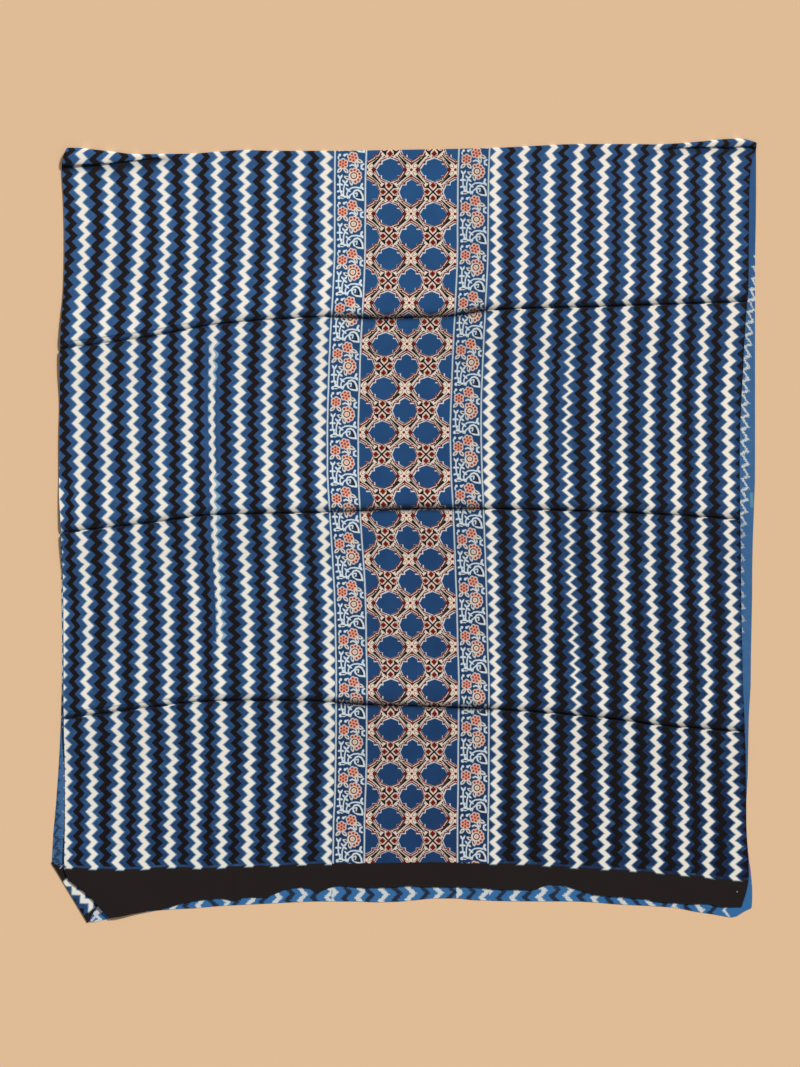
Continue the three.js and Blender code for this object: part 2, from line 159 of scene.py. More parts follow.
# the three pressed creases: where each runs, how deep its trough is, how far the
# cloth below it laps over it, and how much a second pleat shows above it
CREASES = {
    "first": [
        {"across": 60, "down": 350.2, "deep": 2.6, "lap": 0.35, "pleat": 0.4},
        {"across": 85, "down": 347.0, "deep": 3.0, "lap": 0.45, "pleat": 1.0},
        {"across": 150, "down": 338.0, "deep": 3.5, "lap": 0.55, "pleat": 1.0},
        {"across": 185, "down": 331.2, "deep": 3.8, "lap": 0.65, "pleat": 0.8},
        {"across": 215, "down": 326.0, "deep": 4.0, "lap": 0.80, "pleat": 0.0},
        {"across": 270, "down": 321.0, "deep": 3.8, "lap": 0.85, "pleat": 0.0},
        {"across": 330, "down": 318.2, "deep": 4.0, "lap": 0.80, "pleat": 0.0},
        {"across": 375, "down": 320.0, "deep": 4.0, "lap": 0.70, "pleat": 0.0},
        {"across": 450, "down": 317.6, "deep": 4.2, "lap": 0.75, "pleat": 0.0},
        {"across": 490, "down": 311.4, "deep": 4.3, "lap": 0.85, "pleat": 0.0},
        {"across": 600, "down": 308.0, "deep": 4.2, "lap": 0.75, "pleat": 0.0},
        {"across": 745, "down": 303.0, "deep": 3.7, "lap": 0.60, "pleat": 0.0},
    ],
    "second": [
        {"across": 60, "down": 534.0, "deep": 3.5, "lap": 0.50, "pleat": 0.0},
        {"across": 150, "down": 524.0, "deep": 4.0, "lap": 0.80, "pleat": 0.0},
        {"across": 215, "down": 516.0, "deep": 4.2, "lap": 0.95, "pleat": 0.0},
        {"across": 330, "down": 513.6, "deep": 4.2, "lap": 1.00, "pleat": 0.0},
        {"across": 400, "down": 511.0, "deep": 4.3, "lap": 1.00, "pleat": 0.0},
        {"across": 480, "down": 510.2, "deep": 4.5, "lap": 1.00, "pleat": 0.0},
        {"across": 600, "down": 513.0, "deep": 4.3, "lap": 0.90, "pleat": 0.0},
        {"across": 700, "down": 518.0, "deep": 4.0, "lap": 0.75, "pleat": 0.0},
        {"across": 745, "down": 521.0, "deep": 3.5, "lap": 0.60, "pleat": 0.0},
    ],
    "third": [
        {"across": 60, "down": 720.0, "deep": 2.7, "lap": 0.40, "pleat": 0.3},
        {"across": 85, "down": 716.8, "deep": 3.2, "lap": 0.50, "pleat": 1.0},
        {"across": 137, "down": 710.0, "deep": 3.7, "lap": 0.60, "pleat": 1.0},
        {"across": 200, "down": 702.8, "deep": 3.8, "lap": 0.75, "pleat": 0.8},
        {"across": 232, "down": 701.6, "deep": 4.0, "lap": 0.90, "pleat": 0.2},
        {"across": 306, "down": 702.0, "deep": 4.2, "lap": 1.00, "pleat": 0.0},
        {"across": 360, "down": 705.6, "deep": 4.2, "lap": 1.00, "pleat": 0.0},
        {"across": 400, "down": 707.0, "deep": 4.2, "lap": 1.00, "pleat": 0.0},
        {"across": 485, "down": 710.0, "deep": 4.3, "lap": 1.00, "pleat": 0.0},
        {"across": 594, "down": 718.0, "deep": 4.3, "lap": 0.95, "pleat": 0.0},
        {"across": 667, "down": 727.0, "deep": 4.2, "lap": 0.90, "pleat": 0.0},
        {"across": 747, "down": 733.0, "deep": 3.8, "lap": 0.80, "pleat": 0.0},
    ],
}
# a section through a crease: mm up the cloth from it, share of its depth, share of its lap,
# and the height of the small second pleat above it
CREASE_SECTION = [
    {"up": 27.0, "rise": 0.000, "lap": 0.0, "pleat": 0.00},
    {"up": 20.0, "rise": 0.000, "lap": 0.0, "pleat": 0.10},
    {"up": 16.0, "rise": -0.010, "lap": 0.0, "pleat": 0.50},
    {"up": 13.5, "rise": -0.045, "lap": 0.0, "pleat": 0.90},
    {"up": 12.2, "rise": -0.075, "lap": 0.0, "pleat": 0.85},
    {"up": 11.4, "rise": -0.100, "lap": 0.0, "pleat": 0.05},
    {"up": 10.4, "rise": -0.130, "lap": 0.0, "pleat": -0.45},
    {"up": 8.8, "rise": -0.190, "lap": 0.0, "pleat": 0.05},
    {"up": 7.0, "rise": -0.280, "lap": 0.0, "pleat": 0.20},
    {"up": 5.6, "rise": -0.370, "lap": 0.0, "pleat": 0.10},
    {"up": 4.6, "rise": -0.460, "lap": 0.0, "pleat": 0.00},
    {"up": 3.9, "rise": -0.570, "lap": 0.0, "pleat": 0.00},
    {"up": 3.3, "rise": -0.720, "lap": 0.0, "pleat": 0.00},
    {"up": 2.8, "rise": -0.880, "lap": 0.0, "pleat": 0.00},
    {"up": 2.3, "rise": -0.970, "lap": 0.0, "pleat": 0.00},
    {"up": 1.4, "rise": -1.000, "lap": 0.0, "pleat": 0.00},
    {"up": 0.3, "rise": -1.000, "lap": 0.0, "pleat": 0.00},
    {"up": -0.5, "rise": -0.970, "lap": 0.0, "pleat": 0.00},
    {"up": -0.9, "rise": -0.840, "lap": -0.3, "pleat": 0.00},
    {"up": -1.1, "rise": -0.520, "lap": -1.0, "pleat": 0.00},
    {"up": -1.2, "rise": -0.180, "lap": -1.6, "pleat": 0.00},
    {"up": -1.6, "rise": -0.010, "lap": -1.6, "pleat": 0.00},
    {"up": -2.6, "rise": 0.030, "lap": -0.9, "pleat": 0.00},
    {"up": -5.5, "rise": 0.030, "lap": 0.0, "pleat": 0.00},
    {"up": -13.0, "rise": 0.000, "lap": 0.0, "pleat": 0.00},
]
# soft tucks that run down the upper layer, in units; rise in mm
TUCKS = [
    {"across": 217.5, "lean": 3.0, "top": 322, "bottom": 760, "rise": 1.5, "left": 9.0, "right": 3.2},
    {"across": 385.0, "lean": 0.0, "top": 380, "bottom": 700, "rise": 0.5, "left": 7.0, "right": 5.0},
    {"across": 571.0, "lean": 2.0, "top": 300, "bottom": 700, "rise": 0.9, "left": 4.0, "right": 7.0},
    {"across": 238.0, "lean": 0.0, "top": 858, "bottom": 930, "rise": 0.8, "left": 6.0, "right": 4.0},
    {"across": 404.0, "lean": 0.0, "top": 862, "bottom": 930, "rise": 0.6, "left": 6.0, "right": 5.0},
    {"across": 583.0, "lean": 0.0, "top": 860, "bottom": 930, "rise": 0.9, "left": 7.0, "right": 4.0},
]
# broad swells of the upper layer: middle and half sizes in units, rise in mm
SWELLS = [
    {"across": 145.7, "down": 241.9, "wide": 92, "long": 68, "rise": 1.6},
    {"across": 441.5, "down": 223.4, "wide": 148, "long": 62, "rise": 1.0},
    {"across": 675.6, "down": 211.1, "wide": 74, "long": 55, "rise": 1.8},
    {"across": 133.4, "down": 420.6, "wide": 68, "long": 74, "rise": 1.4},
    {"across": 663.3, "down": 414.4, "wide": 80, "long": 80, "rise": 1.3},
    {"across": 484.6, "down": 439.1, "wide": 74, "long": 68, "rise": 0.9},
    {"across": 305.9, "down": 605.4, "wide": 80, "long": 74, "rise": 1.0},
    {"across": 669.4, "down": 623.9, "wide": 80, "long": 80, "rise": 1.4},
    {"across": 139.6, "down": 623.9, "wide": 74, "long": 74, "rise": 1.2},
    {"across": 515.4, "down": 802.6, "wide": 123, "long": 62, "rise": 1.1},
    {"across": 219.7, "down": 796.4, "wide": 92, "long": 55, "rise": 1.0},
]
# the turned-up corner of the lower layer: its fold from A to B, and its tip
TURNED = {"A": (52.0, 862.0), "B": (88.0, 922.0), "tip": (107.6, 889.4)}
# the white zigzag on that corner: a place on it, its direction, and how far on it ends
FLAP_LINE = {"at": (80.2, 894.0), "run": (0.69, 0.724), "starts": -19.5, "ends": 18.0}

# ---------------------------------------------------------------------------
# The print's layout on the laid cloth, in units.
# ---------------------------------------------------------------------------
ZIG_COL = 27.0                 # from one white zigzag to the next
ZIG_ROW = 12.07                # one zig and one zag
LAT_X, LAT_Y = 22.0, 21.95     # a quarter of the lattice's repeat
STRIP_ROW = 47.4               # the border's repeat down the cloth
STRIP_WIDE = 30.6
YOKE_WIDE = 92.3

# the first and last white zigzag of each field, and the four lines between the fields
LAYOUT = [
    {"down": 140, "L1": 76.5, "L10": 326.0, "lineA": 335.3, "lineB": 367.0, "lineC": 459.4, "lineD": 490.0, "R1": 494.9, "R10": 735.6},
    {"down": 165, "L1": 79.2, "L10": 326.2, "lineA": 335.0, "lineB": 366.0, "lineC": 458.4, "lineD": 488.9, "R1": 494.7, "R10": 735.3},
    {"down": 182, "L1": 81.0, "L10": 326.3, "lineA": 334.8, "lineB": 365.4, "lineC": 457.8, "lineD": 488.3, "R1": 494.6, "R10": 735.1},
    {"down": 205, "L1": 83.0, "L10": 326.6, "lineA": 334.8, "lineB": 365.3, "lineC": 457.7, "lineD": 488.2, "R1": 494.9, "R10": 734.9},
    {"down": 226, "L1": 85.0, "L10": 326.8, "lineA": 334.8, "lineB": 365.3, "lineC": 457.6, "lineD": 488.1, "R1": 495.2, "R10": 734.8},
    {"down": 240, "L1": 85.2, "L10": 326.9, "lineA": 334.8, "lineB": 365.2, "lineC": 457.6, "lineD": 488.0, "R1": 495.4, "R10": 734.7},
    {"down": 256, "L1": 83.6, "L10": 326.8, "lineA": 334.7, "lineB": 365.1, "lineC": 457.5, "lineD": 487.9, "R1": 495.4, "R10": 734.5},
    {"down": 272, "L1": 82.0, "L10": 325.9, "lineA": 334.0, "lineB": 364.5, "lineC": 456.9, "lineD": 487.2, "R1": 494.8, "R10": 733.8},
    {"down": 290, "L1": 80.6, "L10": 324.8, "lineA": 333.2, "lineB": 363.8, "lineC": 456.0, "lineD": 486.2, "R1": 494.0, "R10": 733.0},
    {"down": 326, "L1": 78.2, "L10": 322.3, "lineA": 331.0, "lineB": 361.8, "lineC": 454.2, "lineD": 484.4, "R1": 492.0, "R10": 731.3},
    {"down": 362, "L1": 77.0, "L10": 321.0, "lineA": 329.4, "lineB": 360.2, "lineC": 452.6, "lineD": 482.8, "R1": 490.0, "R10": 729.0},
    {"down": 398, "L1": 76.6, "L10": 320.2, "lineA": 328.2, "lineB": 359.1, "lineC": 451.2, "lineD": 481.3, "R1": 488.3, "R10": 727.3},
    {"down": 434, "L1": 77.4, "L10": 320.0, "lineA": 327.4, "lineB": 358.2, "lineC": 450.2, "lineD": 481.0, "R1": 488.1, "R10": 727.2},
    {"down": 470, "L1": 78.9, "L10": 320.4, "lineA": 327.5, "lineB": 358.3, "lineC": 451.0, "lineD": 481.9, "R1": 488.6, "R10": 727.8},
    {"down": 506, "L1": 80.2, "L10": 321.6, "lineA": 329.4, "lineB": 359.8, "lineC": 452.8, "lineD": 483.2, "R1": 490.0, "R10": 727.6},
    {"down": 542, "L1": 82.1, "L10": 323.3, "lineA": 331.6, "lineB": 362.0, "lineC": 454.4, "lineD": 484.6, "R1": 491.4, "R10": 727.9},
    {"down": 578, "L1": 84.8, "L10": 325.6, "lineA": 333.8, "lineB": 364.6, "lineC": 455.8, "lineD": 486.0, "R1": 492.2, "R10": 729.4},
    {"down": 614, "L1": 87.3, "L10": 327.6, "lineA": 335.2, "lineB": 365.8, "lineC": 457.0, "lineD": 486.8, "R1": 493.2, "R10": 731.2},
    {"down": 650, "L1": 87.0, "L10": 328.8, "lineA": 335.9, "lineB": 366.4, "lineC": 457.9, "lineD": 487.7, "R1": 494.2, "R10": 732.8},
    {"down": 686, "L1": 86.8, "L10": 329.6, "lineA": 336.3, "lineB": 367.0, "lineC": 458.8, "lineD": 488.8, "R1": 495.2, "R10": 734.0},
    {"down": 722, "L1": 89.6, "L10": 330.0, "lineA": 336.2, "lineB": 366.8, "lineC": 458.6, "lineD": 488.8, "R1": 495.4, "R10": 732.0},
    {"down": 758, "L1": 92.2, "L10": 330.0, "lineA": 335.8, "lineB": 366.6, "lineC": 458.2, "lineD": 488.8, "R1": 495.3, "R10": 731.0},
    {"down": 794, "L1": 91.6, "L10": 328.4, "lineA": 335.0, "lineB": 365.4, "lineC": 458.0, "lineD": 488.6, "R1": 494.8, "R10": 732.6},
    {"down": 830, "L1": 91.2, "L10": 326.5, "lineA": 333.4, "lineB": 364.4, "lineC": 457.4, "lineD": 488.0, "R1": 494.3, "R10": 734.4},
    {"down": 920, "L1": 95.4, "L10": 326.4, "lineA": 332.6, "lineB": 364.0, "lineC": 457.6, "lineD": 488.0, "R1": 494.8, "R10": 733.6},
]
# how far down each block of zigzags was set, in zigzags, above and below each crease.
# Each row of blocks is two levels: its top and its bottom.
SET_LEFT = [
    {"down": 200, "c1": -0.18, "c2": 0.64, "c3": 1.31, "c4": 1.70, "c5": 2.10, "c6": 2.49, "c7": 2.73, "c8": 3.01, "c9": 3.28, "c10": 3.50},
    {"down": 290, "c1": -0.03, "c2": 0.67, "c3": 1.29, "c4": 1.58, "c5": 1.96, "c6": 2.18, "c7": 2.52, "c8": 2.81, "c9": 3.08, "c10": 3.22},
    {"down": 345, "c1": -0.20, "c2": 0.56, "c3": 1.04, "c4": 1.35, "c5": 1.71, "c6": 1.94, "c7": 2.14, "c8": 2.33, "c9": 2.52, "c10": 2.69},
    {"down": 480, "c1": 0.29, "c2": 0.86, "c3": 1.16, "c4": 1.33, "c5": 1.51, "c6": 1.64, "c7": 1.84, "c8": 1.89, "c9": 2.15, "c10": 2.21},
    {"down": 530, "c1": 0.19, "c2": 0.61, "c3": 1.01, "c4": 1.10, "c5": 1.22, "c6": 1.39, "c7": 1.45, "c8": 1.49, "c9": 1.57, "c10": 1.67},
    {"down": 690, "c1": 0.44, "c2": 0.74, "c3": 0.99, "c4": 0.96, "c5": 0.98, "c6": 0.98, "c7": 0.93, "c8": 0.94, "c9": 0.99, "c10": 1.07},
    {"down": 745, "c1": 0.15, "c2": 0.41, "c3": 0.54, "c4": 0.52, "c5": 0.56, "c6": 0.68, "c7": 0.45, "c8": 0.43, "c9": 0.42, "c10": 0.32},
    {"down": 835, "c1": 0.24, "c2": 0.43, "c3": 0.39, "c4": 0.31, "c5": 0.36, "c6": 0.29, "c7": 0.23, "c8": 0.19, "c9": 0.17, "c10": 0.11},
]
SET_RIGHT = [
    {"down": 200, "c1": 0.02, "c2": -0.23, "c3": -0.39, "c4": -0.50, "c5": -0.81, "c6": -0.80, "c7": -0.85, "c8": -0.81, "c9": -1.21, "c10": -1.16},
    {"down": 290, "c1": -0.26, "c2": -0.49, "c3": -0.66, "c4": -0.76, "c5": -1.03, "c6": -1.09, "c7": -1.12, "c8": -1.08, "c9": -1.41, "c10": -1.31},
    {"down": 345, "c1": -0.65, "c2": -0.82, "c3": -0.92, "c4": -0.95, "c5": -1.35, "c6": -1.32, "c7": -1.37, "c8": -1.42, "c9": -1.66, "c10": -1.59},
    {"down": 480, "c1": -1.06, "c2": -1.18, "c3": -1.25, "c4": -1.34, "c5": -1.75, "c6": -1.69, "c7": -1.59, "c8": -1.53, "c9": -1.58, "c10": -1.49},
    {"down": 530, "c1": -1.64, "c2": -1.61, "c3": -1.63, "c4": -1.58, "c5": -2.13, "c6": -2.06, "c7": -1.97, "c8": -1.82, "c9": -1.90, "c10": -1.81},
    {"down": 690, "c1": -2.29, "c2": -2.30, "c3": -2.21, "c4": -2.11, "c5": -2.59, "c6": -2.47, "c7": -2.31, "c8": -2.11, "c9": -1.99, "c10": -1.81},
    {"down": 745, "c1": -2.97, "c2": -2.84, "c3": -2.72, "c4": -2.52, "c5": -3.07, "c6": -2.91, "c7": -2.74, "c8": -2.49, "c9": -2.35, "c10": -2.22},
    {"down": 835, "c1": -3.22, "c2": -3.14, "c3": -3.07, "c4": -2.92, "c5": -3.46, "c6": -3.21, "c7": -2.98, "c8": -2.73, "c9": -2.48, "c10": -2.37},
]
# how far to the right of its even place each zigzag was set, in units
DRIFT_LEFT = [
    {"down": 235, "c1": -0.6, "c2": 0.1, "c3": 0.2, "c4": 0.4, "c5": 0.3, "c6": -0.1, "c7": 0.8, "c8": 0.8, "c9": 0.3, "c10": 0.0},
    {"down": 430, "c1": 1.2, "c2": 1.4, "c3": 2.5, "c4": 2.1, "c5": 2.1, "c6": 0.5, "c7": 0.3, "c8": 0.2, "c9": 0.6, "c10": 0.2},
    {"down": 615, "c1": -0.1, "c2": 0.4, "c3": 0.2, "c4": 0.7, "c5": 1.3, "c6": -1.0, "c7": 0.8, "c8": 0.8, "c9": 1.0, "c10": 0.6},
    {"down": 790, "c1": 0.0, "c2": 0.5, "c3": 0.1, "c4": 0.2, "c5": 0.3, "c6": -0.8, "c7": -1.1, "c8": -0.8, "c9": -0.3, "c10": 0.4},
]
DRIFT_RIGHT = [
    {"down": 235, "c1": 0.7, "c2": 1.5, "c3": 1.0, "c4": 1.7, "c5": 1.9, "c6": 1.3, "c7": 1.2, "c8": 1.0, "c9": 0.2, "c10": -0.5},
    {"down": 430, "c1": 0.5, "c2": 0.3, "c3": 1.1, "c4": -1.4, "c5": 0.2, "c6": 0.3, "c7": 1.1, "c8": 1.2, "c9": 0.1, "c10": 0.1},
    {"down": 615, "c1": 0.6, "c2": 0.7, "c3": 0.7, "c4": -0.4, "c5": -0.3, "c6": 0.2, "c7": 0.2, "c8": 0.7, "c9": -0.3, "c10": 0.6},
    {"down": 790, "c1": 0.8, "c2": 1.4, "c3": 1.5, "c4": 2.3, "c5": 3.6, "c6": 3.4, "c7": 3.4, "c8": 3.2, "c9": 0.7, "c10": 0.6},
]
# the same for the two border strips and the lattice, in units, and how much later
# the black blocks were set than the white ones, in zigzags
SET_YOKE = [
    {"down": 200, "stripL": 6.5, "stripR": 2.0, "lattice": 38.8, "blackL": 0.15, "blackR": 0.02},
    {"down": 290, "stripL": 8.2, "stripR": 3.2, "lattice": 40.0, "blackL": 0.11, "blackR": 0.00},
    {"down": 345, "stripL": 6.4, "stripR": 2.9, "lattice": 37.4, "blackL": 0.11, "blackR": -0.08},
    {"down": 480, "stripL": 8.6, "stripR": 5.0, "lattice": 37.8, "blackL": 0.08, "blackR": -0.08},
    {"down": 530, "stripL": 6.8, "stripR": 2.4, "lattice": 33.0, "blackL": 0.08, "blackR": -0.04},
    {"down": 690, "stripL": 8.7, "stripR": 5.1, "lattice": 32.0, "blackL": 0.05, "blackR": 0.00},
    {"down": 745, "stripL": 3.4, "stripR": 0.5, "lattice": 27.5, "blackL": 0.00, "blackR": 0.00},
    {"down": 835, "stripL": 5.2, "stripR": 2.8, "lattice": 28.5, "blackL": 0.00, "blackR": 0.02},
]
# where the lower layer's last zigzag shows beside the right edge
RIGHT_SHOWS = [
    {"down": 300, "column": 748.8}, {"down": 330, "column": 748.0}, {"down": 360, "column": 746.6},
    {"down": 400, "column": 745.0}, {"down": 480, "column": 744.8}, {"down": 505, "column": 743.4},
    {"down": 530, "column": 741.6}, {"down": 548, "column": 740.4}, {"down": 600, "column": 741.0},
    {"down": 638, "column": 741.2}, {"down": 652, "column": 735.0}, {"down": 700, "column": 735.0},
]
# how much closer the left edge's column of zigzags was set than the others
EDGE_COLUMN = [
    {"down": 470, "closer": 1.00}, {"down": 492, "closer": 1.28}, {"down": 506, "closer": 1.30},
    {"down": 528, "closer": 1.16}, {"down": 545, "closer": 1.06}, {"down": 600, "closer": 1.06},
    {"down": 614, "closer": 1.16}, {"down": 640, "closer": 1.12}, {"down": 700, "closer": 1.04},
]
# upper edge of the plain black band at the cut end
BAND = [
    {"across": 60, "down": 866.4}, {"across": 94, "down": 868.0}, {"across": 129, "down": 868.8},
    {"across": 174, "down": 866.4}, {"across": 206, "down": 867.7}, {"across": 232, "down": 866.0},
    {"across": 286, "down": 864.7}, {"across": 300, "down": 863.8}, {"across": 362, "down": 863.0},
    {"across": 434, "down": 862.0}, {"across": 484, "down": 863.0}, {"across": 528, "down": 863.8},
    {"across": 564, "down": 866.5}, {"across": 614, "down": 869.2}, {"across": 660, "down": 872.3},
    {"across": 676, "down": 874.0}, {"across": 702, "down": 876.0}, {"across": 723, "down": 878.8},
    {"across": 744, "down": 879.8},
]


# ---------------------------------------------------------------------------
# Reading tables.
# ---------------------------------------------------------------------------
def column(table, key):
    return np.array([row[key] for row in table], dtype=float)


def straight(table, by, key, at):
    """a column of a table, joined by straight lines"""
    return np.interp(at, column(table, by), column(table, key))


def curved(table, by, key, at):
    """a column of a table, joined by a smooth line that never overshoots"""
    x, y = column(table, by), column(table, key)
    h = np.diff(x)
    slope = np.diff(y) / h
    m = np.zeros_like(y)
    m[0], m[-1] = slope[0], slope[-1]
    same = slope[:-1] * slope[1:] > 0
    w1, w2 = 2 * h[1:] + h[:-1], h[1:] + 2 * h[:-1]
    a = np.where(same, slope[:-1], 1.0)
    b = np.where(same, slope[1:], 1.0)
    m[1:-1] = np.where(same, (w1 + w2) / (w1 / a + w2 / b), 0.0)
    at = np.clip(np.asarray(at, dtype=float), x[0], x[-1])
    i = np.clip(np.searchsorted(x, at, side="right") - 1, 0, len(h) - 1)
    t = (at - x[i]) / h[i]
    return (
        (1 + 2 * t) * (1 - t) ** 2 * y[i]
        + t * (1 - t) ** 2 * h[i] * m[i]
        + t * t * (3 - 2 * t) * y[i + 1]
        + t * t * (t - 1) * h[i] * m[i + 1]
    )


def mix(a, b, t):
    return a + (b - a) * t


def smooth(t):
    t = np.clip(t, 0.0, 1.0)
    return t * t * (3 - 2 * t)


def noise(x, y, seed):
    """smooth noise from -1 to 1, one lump a unit, the same on every run"""
    grid = np.random.RandomState(seed).uniform(-1, 1, (64, 64))
    xi, yi = np.floor(x).astype(int), np.floor(y).astype(int)
    tx, ty = x - xi, y - yi
    tx, ty = tx * tx * tx * (tx * (tx * 6 - 15) + 10), ty * ty * ty * (ty * (ty * 6 - 15) + 10)
    pick = lambda a, b: grid[a % 64, b % 64]
    return mix(mix(pick(xi, yi), pick(xi + 1, yi), tx), mix(pick(xi, yi + 1), pick(xi + 1, yi + 1), tx), ty)


# ---------------------------------------------------------------------------
# Columns of the sheet.  A column is a field number and a share across it.
# ---------------------------------------------------------------------------
FIELD_STEPS = [60, 7, 22, 7, 60]
zone_of, share_of = [], []
for zone, steps in enumerate(FIELD_STEPS):
    for k in range(steps):
        zone_of.append(zone)
        share_of.append(k / steps)
zone_of.append(len(FIELD_STEPS) - 1)
share_of.append(1.0)
zone_of, share_of = np.array(zone_of), np.array(share_of)
COLUMNS = len(zone_of)
LINES = [("lineA", -1.2), ("lineB", 1.2), ("lineC", -1.2), ("lineD", 1.2)]


def across_at(layer, down):
    """where each column is on a layer, at its own distance down"""
    edges = [curved(SIDES, "down", layer + "L", down)]
    edges += [curved(LAYOUT, "down", line, down) + aside for line, aside in LINES]
    edges += [curved(SIDES, "down", layer + "R", down)]
    edges = np.array(edges)
    here = np.arange(COLUMNS)
    return mix(edges[zone_of, here], edges[zone_of + 1, here], share_of)


def on_line(layer, line):
    """the places of all the columns of a layer on the line down = line(across)"""
    across = across_at(layer, np.full(COLUMNS, 500.0))
    down = line(across)
    for _ in range(10):
        across = across_at(layer, down)
        down = line(across)
    return across, down


# ---------------------------------------------------------------------------
# How far the upper layer stands above its lowest place, in mm.
# ---------------------------------------------------------------------------
def outside_turned(across, down):
    ring = [TURNED["A"], TURNED["B"], TURNED["tip"]]
    far = np.full(np.shape(across), -1e9)
    for i in range(3):
        (px, py), (qx, qy) = ring[i], ring[(i + 1) % 3]
        long = math.hypot(qx - px, qy - py)
        # the distance outside this side; down grows downwards, so the ring runs clockwise
        far = np.maximum(far, -((qy - py) * (across - px) - (qx - px) * (down - py)) / long)
    return far * UNIT


def inside_tuck(across, down):
    near = np.full(np.shape(across), 1e9)
    for edge_down in np.linspace(TUCK_TOP, 917.0, 24):
        edge = curved(SIDES, "down", "upL", edge_down)
        near = np.minimum(near, np.hypot(across - edge, down - edge_down))
    return near * UNIT


def relief(across, down):
    rise = np.zeros(np.shape(across))
    for tuck in TUCKS:
        line = tuck["across"] + tuck["lean"] * (down - tuck["top"]) / (tuck["bottom"] - tuck["top"])
        line = line + 0.8 * noise(down / 60.0, np.full(np.shape(down), tuck["across"]), 3)
        off = across - line
        side = np.where(off < 0, -off / tuck["left"], off / tuck["right"])
        along = smooth((down - tuck["top"]) / 30) * smooth((tuck["bottom"] - down) / 30)
        rise = rise + tuck["rise"] * along * smooth(1 - side)
    for swell in SWELLS:
        far = np.hypot((across - swell["across"]) / swell["wide"], (down - swell["down"]) / swell["long"])
        rise = rise + swell["rise"] * smooth(1 - far)
    for name in CREASES:
        off = (down - curved(CREASES[name], "across", "down", across)) * UNIT
        rise = rise + 4.4 * (1 - smooth((np.abs(off) - 12) / 85))
    rise = rise + LAYER * (1 - smooth((outside_turned(across, down) - 14) / 60))
    rise = rise + LAYER * (1 - smooth((inside_tuck(across, down) - TUCK_WIDE - 8) / 50))
    # slack and small wrinkles of a pressed cotton
    rise = rise + 0.45 * noise(across / 62.0, down / 55.0, 11)
    rise = rise + 0.30 * noise(across / 27.0 + 7, down / 30.0, 12)
    rise = rise + 0.12 * noise(across / 11.0, down / 12.0, 13)
    return rise


# ---------------------------------------------------------------------------
# The sheet's middle surface: rows from the lower layer's cut end up to the
# fold, round it, and down the upper layer to its own cut end.
# ---------------------------------------------------------------------------
rows = []


def put(across, down, high, layer, kind="flat", shown=None):
    """one row of the sheet; shown is the place in the print when it differs"""
    rows.append({
        "across": across, "down": down, "high": np.broadcast_to(high, np.shape(across)).astype(float),
        "layer": layer, "kind": kind, "at": (across, down) if shown is None else shown,
    })


fold_line = lambda a: curved(FOLD, "across", "down", a)
low_end = lambda a: curved(LOWER_END, "across", "down", a)
up_end = lambda a: curved(UPPER_END, "across", "down", a)

TURN_ROWS = 20
for k in range(TURN_ROWS + 1):
    a, d = on_line("low", lambda x: mix(low_end(x), TURN_TOP, k / TURN_ROWS))
    put(a, d, LOWER_Z, "low")
LOWER_ROWS = 24
for k in range(1, LOWER_ROWS + 1):
    a, d = on_line("low", lambda x: mix(TURN_TOP, fold_line(x) + 30 / UNIT, k / LOWER_ROWS))
    put(a, d, LOWER_Z, "low")

top_across, _ = on_line("low", fold_line)
high = curved(TOP_ROLL, "across", "high", top_across) - 0.5
run = curved(TOP_ROLL, "across", "run", top_across)
rolled = curved(TOP_ROLL, "across", "rolled", top_across)
up = (high - LOWER_Z) / 2
out = np.minimum(4.0, up * 0.9)


def fold_row(back, z, layer, kind):
    # back is worked out for the columns, so the line is read by column
    a, d = on_line(layer, lambda x: fold_line(x) + (HALF_THICK + back) / UNIT)
    put(a, d, z, layer, kind)


ARC_ROWS = 14
for k in range(ARC_ROWS + 1):
    turn = mix(-math.pi / 2, math.pi / 2, k / ARC_ROWS)
    fold_row(out - out * math.cos(turn), LOWER_Z + up + up * math.sin(turn), "low", "fold")
ROLL_ROWS = 36
lumps = 1 + 0.10 * noise(top_across / 9.0, np.zeros(COLUMNS), 21)
for k in range(1, ROLL_ROWS + 1):
    t = k / ROLL_ROWS
    back = out + run * t + 0.3 * run * rolled * math.sin(2 * math.pi * t) * lumps
    z = mix(high, UPPER_Z, mix(smooth((t - 0.05) / 0.95), smooth(t / 0.62), rolled))
    z = z + 0.35 * rolled * math.sin(math.pi * min(1.0, t * 2)) * noise(top_across / 13.0, np.full(COLUMNS, t * 3), 22)
    fold_row(back, z, "up" if t > 0.5 else "low", "fold")


def lay(line, shape=None, fade=None, kind="flat"):
    """a row of the upper layer on a line; shape is (rise, lap) in mm"""
    a, d = on_line("up", line)
    ground = relief(a, d)
    if fade is not None:
        ground = ground * smooth(fade)
    rise, lap = shape if shape is not None else (0.0, 0.0)
    put(a, d + lap / UNIT, UPPER_Z + np.maximum(ground + rise, -0.75), "up", kind, shown=(a, d))


